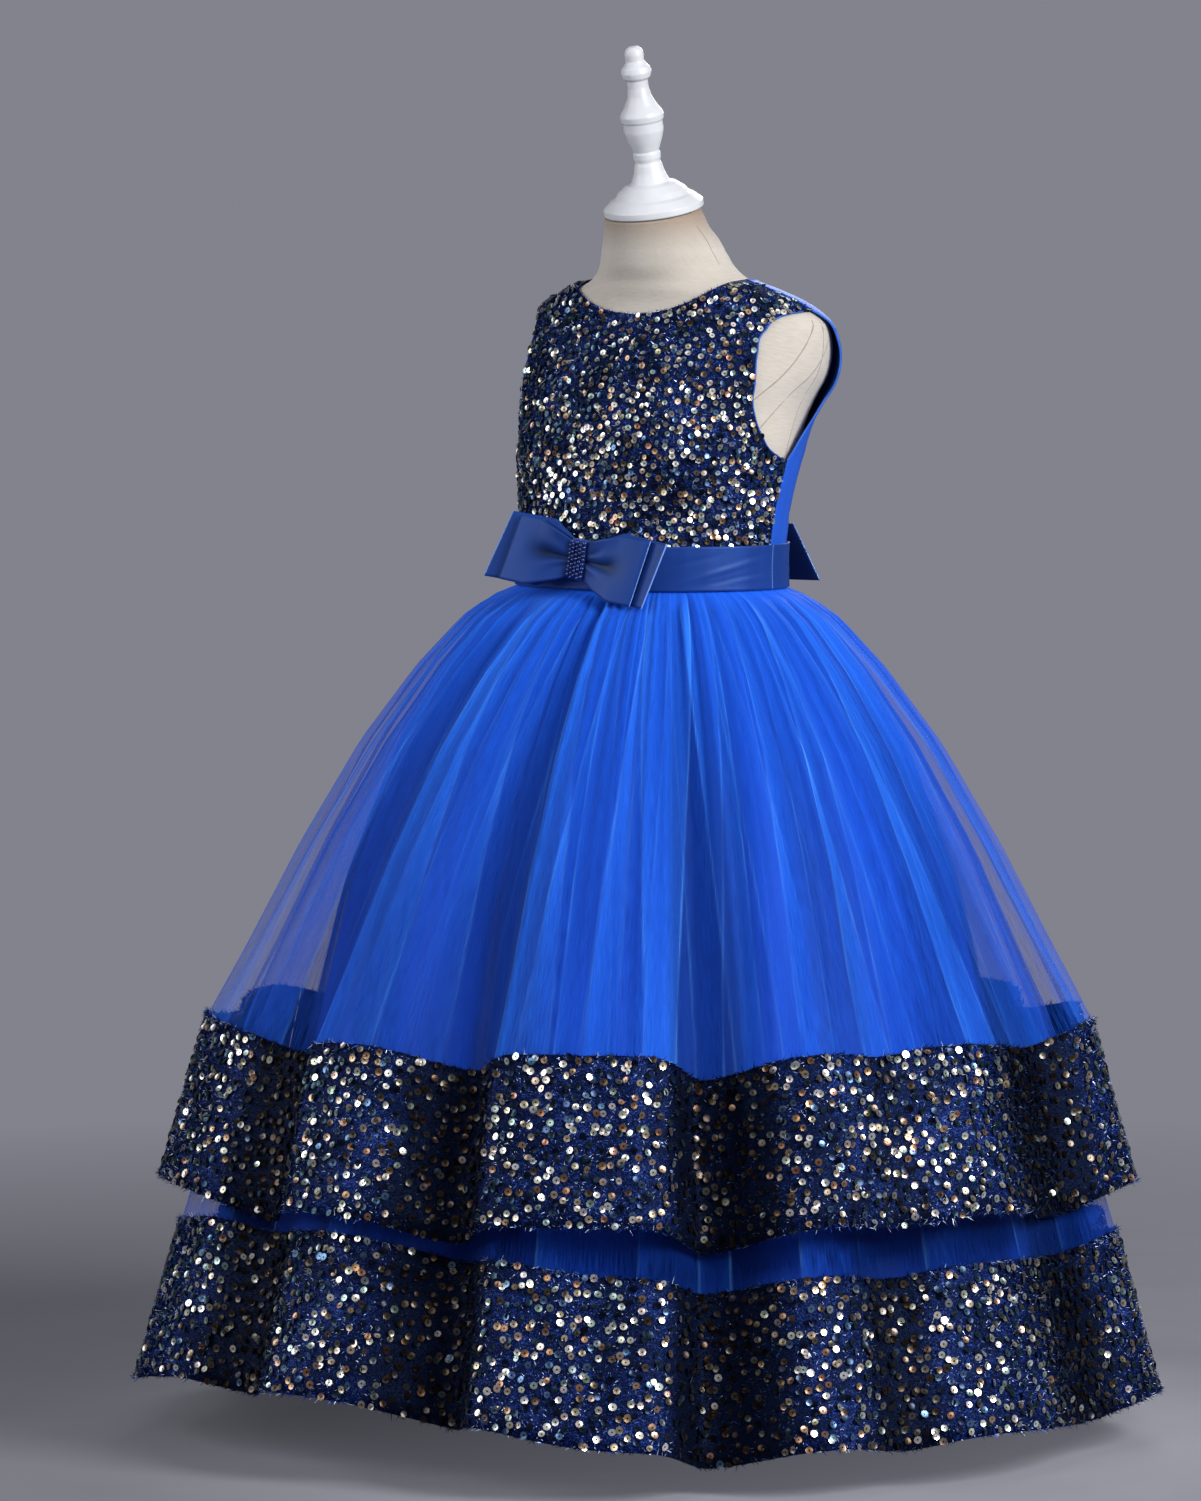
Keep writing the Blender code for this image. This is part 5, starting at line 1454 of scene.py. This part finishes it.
def bow_loops(name, back_of_knot, middle, front, count=42, rows=25):
    """The front layer swells by sin(pi past^0.8) and dips along its middle. Both layers meet at a round end."""
    half_length, height, slant, lean = bow_sizes(name)
    stops = KNOT_HALF + (half_length - KNOT_HALF) * np.sin(np.linspace(0, np.pi / 2, count))
    along = np.concatenate([stops[::-1], -stops, -stops[-2::-1], stops])
    outer = np.arange(len(along)) < 2 * count
    across = np.linspace(-0.5, 0.5, rows)[:, None]
    past = past_knot(along, half_length)
    puff = outer * LOOP_PUFF * np.sin(np.pi * past**0.8) * (1 - 0.5 * past)
    crease = outer * LOOP_CREASE * np.sin(np.pi * past**0.6) ** 2 * (1 - past) * (1 - (2 * across) ** 2)
    ribbon = PINCHED_HEIGHT + (height - PINCHED_HEIGHT) * np.minimum(past / 0.6, 1) ** 0.8
    up = across * ribbon
    round_end = np.sqrt(1 - (along / half_length) ** 10)
    drag = outer * knot_pleats(across * np.sign(along), past) * step_between(0, 0.1, 1 - past)
    forward = middle + (np.where(outer, PINCH, -PINCH) + puff - crease + drag) * round_end
    slanted = slant * up * past * (1 if front else np.sign(along))
    grid = bow_place(np.stack([along + slanted, forward, up], axis=-1), back_of_knot, front,
                     BOW_FLARE if front else 0, lean)[:, ::-1]
    made = grid_piece(f"{name}_satin", grid, ribbon_satin, (name,), RIBBON, 0.0)
    fold = np.broadcast_to(half_length - np.abs(along[::-1]), grid.shape[:2])
    attribute(made, "edge", (fold + 0.6 * MM).ravel())
    # Painted shade: in the troughs of the knot's pleats, close beside the knot, and 0.95 more over the whole back
    # bow.
    knot_shade = 0.55 * np.exp(-((past / 0.10) ** 2)) + 0 * across
    shade = np.clip(-drag / (2.4 * MM), 0, 1) + knot_shade + (0 if front else 0.95)
    attribute(made, "in_fold", np.clip(shade, 0, 1)[:, ::-1].ravel())
    close_seams(made)
    return made, grid


def bow_ribbon(name, back_of_knot, middle, count=100, rows=23):
    """A flat ribbon, narrowed where the knot holds it, with faint pleats that start there."""
    half_length, height, slant, lean = bow_sizes(name)
    along = np.linspace(-half_length, half_length, count)[None, :]
    ribbon = PINCHED_HEIGHT + (height - PINCHED_HEIGHT) * past_knot(along, 3.5 * CM)
    across = np.linspace(-0.5, 0.5, rows)[:, None]
    up = across * ribbon
    past = past_knot(along, half_length)
    grid = np.stack([along + slant * up * past, middle + 0 * up - 0.2 * knot_pleats(across, past), up], axis=-1)
    grid = bow_place(grid, back_of_knot, True, BOW_FLARE, lean)
    made = grid_piece(f"{name}_satin", grid, ribbon_satin, (name,), RIBBON, 0.0)
    attribute(made, "edge", from_ends(grid, "first", "last").ravel())
    return made, grid


# %% The knots and the beads on the front one
def rounded_rectangle(half_wide, half_tall, radius, steps=7):
    """Points round a rectangle with round corners, `steps` to each corner, closed on its first point."""
    turns = np.radians(90 * np.arange(4)[:, None] + np.linspace(0, 90, steps)).ravel()
    corners = np.repeat(((1, 1), (-1, 1), (-1, -1), (1, -1)), steps, axis=0)
    rounding = radius * np.stack([np.cos(turns), np.sin(turns)], axis=-1)
    ring = corners * (half_wide - radius, half_tall - radius) + rounding
    return np.concatenate([ring, ring[:1]])


def bow_knot(name, back_of_knot, depth, front):
    """A ring of ribbon round the pinched middle, drawn in a little at its waist and pleated along its length."""
    half_tall = PINCHED_HEIGHT / 2 + 3 * SEAM + RIBBON / 2
    ring = rounded_rectangle(depth / 2 - RIBBON / 2, half_tall, 1.5 * MM)
    share = np.linspace(-1, 1, 21)[:, None]
    pleated = 0.25 * MM * np.cos(share * 3 * np.pi) * (ring[:, 0] > 0)
    along = share * (KNOT_HALF - 2 * SEAM)
    shape = np.stack(np.broadcast_arrays(along, depth / 2 + ring[:, 0] + pleated, ring[:, 1]), axis=-1)
    grid = bow_place(shape, back_of_knot, front, 0, 0)[::-1]
    made = grid_piece(f"{name}_satin", grid, ribbon_satin, (name,), RIBBON, 0.0)
    attribute(made, "edge", np.ones(grid.shape[0] * grid.shape[1]))
    close_seams(made)


def balls(centres, radius, rings=9, sides=14):
    """Points centre + r (sin(t) cos(a), sin(t) sin(a), cos(t)) on a grid of angles, one grid for each centre."""
    tilt = np.linspace(np.pi, 0, rings)[:, None]
    turn = np.linspace(0, 2 * np.pi, sides + 1)[None, :]
    ball = np.stack([np.sin(tilt) * np.cos(turn), np.sin(tilt) * np.sin(turn), np.cos(tilt) + 0 * turn], axis=-1)
    return [centre + radius * ball for centre in centres]


BEAD_RADIUS, BEAD_PITCH, BEAD_COLUMNS, BEAD_ROWS = 1.75 * MM, (3.3 * MM, 3.5 * MM), 5, 9
BEAD_NUDGE, BEAD_SWELL = 0.2 * MM, 8 * MM


def knot_beads(back_of_knot, depth):
    """Five columns of nine beads that cover the knot, alternate columns shifted, each nudged from its place."""
    chance = np.random.default_rng(5)
    across, up = np.meshgrid(np.arange(BEAD_COLUMNS) - 2, np.arange(BEAD_ROWS) - 4.0, indexing="ij")
    across, up = across * BEAD_PITCH[0], (up + 0.25 * (-1.0) ** across) * BEAD_PITCH[1]
    across, up = across + chance.normal(0, BEAD_NUDGE, up.shape), up + chance.normal(0, BEAD_NUDGE, up.shape)
    swell = 1 - 0.9 * (across / BEAD_SWELL) ** 2
    shape = np.stack([across, depth + (0.3 + 1.2 * swell) * MM, up], axis=-1)
    centres = bow_place(shape, back_of_knot, True, 0, 0).reshape(-1, 3)
    close_seams(joined_grids("bow_front_beads", balls(centres, BEAD_RADIUS), navy_beads))


# %% Front and back bows, stacked on the belt
belt_face = figure(BOW_HEIGHT, "front_y") * -CM + BELT_OUT + SATIN
back_of_knot = float(belt_face) + 2 * SEAM
flat = RIBBON + SEAM + RIBBON / 2
loops = flat + RIBBON + 3 * SEAM + PINCH
depth = loops + PINCH + RIBBON / 2 + 2 * SEAM + RIBBON
front_ribbon = bow_ribbon("bow_front_ribbon", back_of_knot, flat)
front_loops = bow_loops("bow_front_loops", back_of_knot, loops, True)
bow_knot("bow_front_knot", back_of_knot, depth, True)
knot_beads(back_of_knot, depth)
back_of_knot = float(figure(BOW_HEIGHT, "back_y") * CM + BELT_OUT + SATIN) + 3 * SEAM
loops = RIBBON + SEAM + RIBBON / 2 + PINCH
depth = loops + PINCH + RIBBON / 2 + 2 * SEAM + RIBBON
back_loops = bow_loops("bow_back_loops", back_of_knot, loops, False)
bow_knot("bow_back_knot", back_of_knot, depth, False)
print("bows done")

# %% [markdown]
# ## Zip
#
# The zip is concealed: the satin rolls in on both sides of the centre back, so all that shows is a fine groove
# with a soft lip each side, the slider at its top and the pull tab. The slider and tab are the solids
# themselves with a better finish, so the tab stays on its own body.

# %% Lips of the concealed zip
ZIP_TOP, LIP_FROM_MIDDLE = 96.0 * CM, 1.5 * MM / (11 * CM)


def zip_lips():
    """A raised strip at either side of the centre back, from the belt up to the zip's top."""
    heights = np.linspace(BELT_TOP + 1 * MM, ZIP_TOP, 120)
    for sign in (-1, 1):
        path, out = surface_path(np.pi - sign * LIP_FROM_MIDDLE, heights, -0.2 * MM)
        yield strip_along(path, out, directions(path, out), 1.2 * MM, 0.6 * MM)


joined_grids("zip_lips", list(zip_lips()), royal_satin)
for name in ("zip_slider", "zip_pull"):
    for material_slot in bpy.data.objects[name].material_slots:
        material_slot.material = navy_enamel

# %% [markdown]
# ## Sheets of cloth
#
# The size that each piece of cloth is cut to, before it is sewn, is worked out and printed. Skirts and bands are
# cut
# as wide as their lower edges, and gathered at the top.

def declare(made, grid, held, rests_on, with_pieces=()):
    """The cut is as wide as the grid's longest row and as long as its longest column. The cloth fills no more."""
    width, height = lengths(grid, 1)[:, -1].max(), lengths(grid, 0)[-1].max()
    across = np.linalg.norm(np.diff(grid, axis=1), axis=-1)
    up = np.linalg.norm(np.diff(grid, axis=0), axis=-1)
    area = (across[:-1] * up[:, :-1]).sum()
    flat = (round(float(width), 3), round(float(height), 3))
    area = min(float(area), 0.999 * flat[0] * flat[1])
    list(rests_on)
    list(with_pieces)
    print(f"{made.name}: {flat[0] * 100:.0f} x {flat[1] * 100:.0f} cm, {area:.4f} m2")


for side in ("front", "back"):
    declare(*underskirt[side], "hung", ["form_torso"])
    for tier in ("upper", "lower"):
        declare(*tulle[tier, side], "gathered", [f"underskirt_{side}_satin"])
        extras = [bpy.data.objects[f"band_{tier}_{side}_{kind}"] for kind in ("sequins", "tinsel")]
        declare(*bands[tier, side], "hung", [f"tulle_{tier}_{side}_net"], extras)
for made, grid in belt.values():
    declare(made, grid, "stretched", ["form_torso"])
declare(*front_ribbon, "folded", ["belt_front_ribbon"])
declare(*front_loops, "folded", ["bow_front_ribbon_satin"])
declare(*back_loops, "folded", ["belt_back_left_ribbon"])
declare(back_left, back, "stretched", ["form_torso"])
declare(back_right, mirrored(back), "stretched", ["form_torso"])
extras = [bpy.data.objects[f"bodice_front_{kind}"] for kind in ("sequins", "tinsel")]
declare(bodice_front, np.concatenate([mirrored(half), half[:, 1:]], axis=1), "stretched", ["form_torso"], extras)

# %% [markdown]
# ## Camera, floor and light
#
# The camera stands 7 m away with a long lens, 34 degrees round to the wearer's left and a little higher than the
# zip's top. Large soft lamps light the gown from the front, both sides, above and behind, as in a studio.

# %% Camera
CAMERA_AT, CAMERA_TARGET = (3.914, -5.803, 1.10), (-0.0362, -0.0244, 0.5755)
FOCAL_LENGTH, SENSOR_WIDTH, CLIP_END = 198.1, 36, 60


def aimed(place, target):
    """The rotation that points an object's -Z at the target, with its Y upwards."""
    return (Vector(target) - Vector(place)).to_track_quat("-Z", "Y").to_euler()


lens = bpy.data.cameras.new("camera")
lens.lens, lens.sensor_width, lens.clip_end = FOCAL_LENGTH, SENSOR_WIDTH, CLIP_END
camera = bpy.data.objects.new("camera", lens)
camera.location = CAMERA_AT
camera.rotation_euler = aimed(CAMERA_AT, CAMERA_TARGET)
bpy.context.scene.collection.objects.link(camera)
bpy.context.scene.camera = camera

# %% World and floor
BACKDROP = (0.226, 0.226, 0.267)
world = bpy.data.worlds.new("studio")
bpy.context.scene.world = world
world.use_nodes = True
world.cycles_visibility.glossy = False
world.node_tree.nodes["Background"].inputs["Color"].default_value = (*BACKDROP, 1)
bpy.context.scene.view_settings.view_transform = "Standard"


# Where the floor's painted shadow lies and how wide it is, and the strength and colour of the painted glow under
# the gown.
SHADED_SIDE, SHADED_WIDTH, GLOW, GLOW_COLOUR = math.radians(-34), 2.4, 0.13, (0.86, 0.86, 1.0, 1)


def floor_finish():
    """Matt grey paper that fades into the backdrop's colour far from the gown, so no horizon shows.

    It has a painted shadow at one side of the gown, and a painted glow under it on the other, as a large lamp
    would light it.
    """
    made, tree, shader = new_material("studio_floor", (0.20, 0.20, 0.23), 0.9)
    where = place(tree, "Object")
    distance = add_node(tree, "ShaderNodeVectorMath", {"Vector": where}, operation="LENGTH").outputs["Value"]
    far = math_node(tree, "DIVIDE", distance, 6.0)
    paper = ramp(tree, noise(tree, where, 8.0, 3.0), (0.3, (0.195, 0.195, 0.221)), (0.7, (0.212, 0.212, 0.242)))
    across = place(tree, "Object", (1 / SHADED_WIDTH, 0, 0), SHADED_SIDE)
    side = add_node(tree, "ShaderNodeSeparateXYZ", {"Vector": across}).outputs["X"]
    shade = ramp(tree, math_node(tree, "ADD", side, 0.5), (0.12, WHITE), (0.62, BLACK))
    under = ramp(tree, far, (0.06, WHITE), (0.10, BLACK))
    brighter = math_node(tree, "SUBTRACT", 1.0, math_node(tree, "MULTIPLY", shade, 1.3))
    lit = math_node(tree, "MULTIPLY", under, math_node(tree, "MAXIMUM", brighter, 0.0))
    feed(tree, shader, {"Base Color": mix_colours(tree, shade, paper, (0.105, 0.105, 0.120, 1)),
                        "Emission Color": GLOW_COLOUR,
                        "Emission Strength": math_node(tree, "MULTIPLY", lit, GLOW)})
    clear = add_node(tree, "ShaderNodeBsdfTransparent").outputs[0]
    away = ramp(tree, far, (0.155, BLACK), (0.37, WHITE))
    blend = add_node(tree, "ShaderNodeMixShader", {"Fac": away, 1: shader.outputs[0], 2: clear})
    feed(tree, tree.nodes["Material Output"], {"Surface": blend.outputs[0]})
    return made


def floor_disc(radius=5.0):
    """Rings of points at growing radii on z = 0."""
    radii = np.array((0.0, 0.3, 0.8, 1.5, 2.6, 3.8, radius))[::-1, None]
    turn = np.linspace(0, 2 * np.pi, 97)[None, :]
    grid = np.stack([radii * np.cos(turn), radii * np.sin(turn), 0 * radii * turn], axis=-1)
    made = put_mesh("studio_floor", grid.reshape(-1, 3), grid_faces(*grid.shape[:2]))
    close_seams(made)
    made.data.materials.append(floor_finish())


floor_disc()


# %% Lamps
def softbox(name, azimuth, distance, height, size, power, colour=(1, 1, 1), target=(0, 0, 0.6)):
    """A square area lamp. Azimuth 0 is in front of the gown, and 90 is at the wearer's left."""
    light = bpy.data.lights.new(name, "AREA")
    light.size, light.energy, light.color = size, power, colour
    made = bpy.data.objects.new(name, light)
    turn = math.radians(azimuth)
    made.location = (distance * math.sin(turn), -distance * math.cos(turn), height)
    made.rotation_euler = aimed(made.location, target)
    bpy.context.scene.collection.objects.link(made)


# name, azimuth, distance, height, size, power
softbox("left_box", -45, 3.0, 1.7, 2.0, 46)
softbox("front_box", 8, 3.4, 2.3, 1.6, 23)
softbox("right_box", 80, 2.8, 1.9, 1.3, 118)
softbox("top_box", 60, 0.9, 3.2, 1.6, 8)
softbox("back_box", 200, 2.8, 2.0, 1.4, 26, (0.92, 0.96, 1.0))
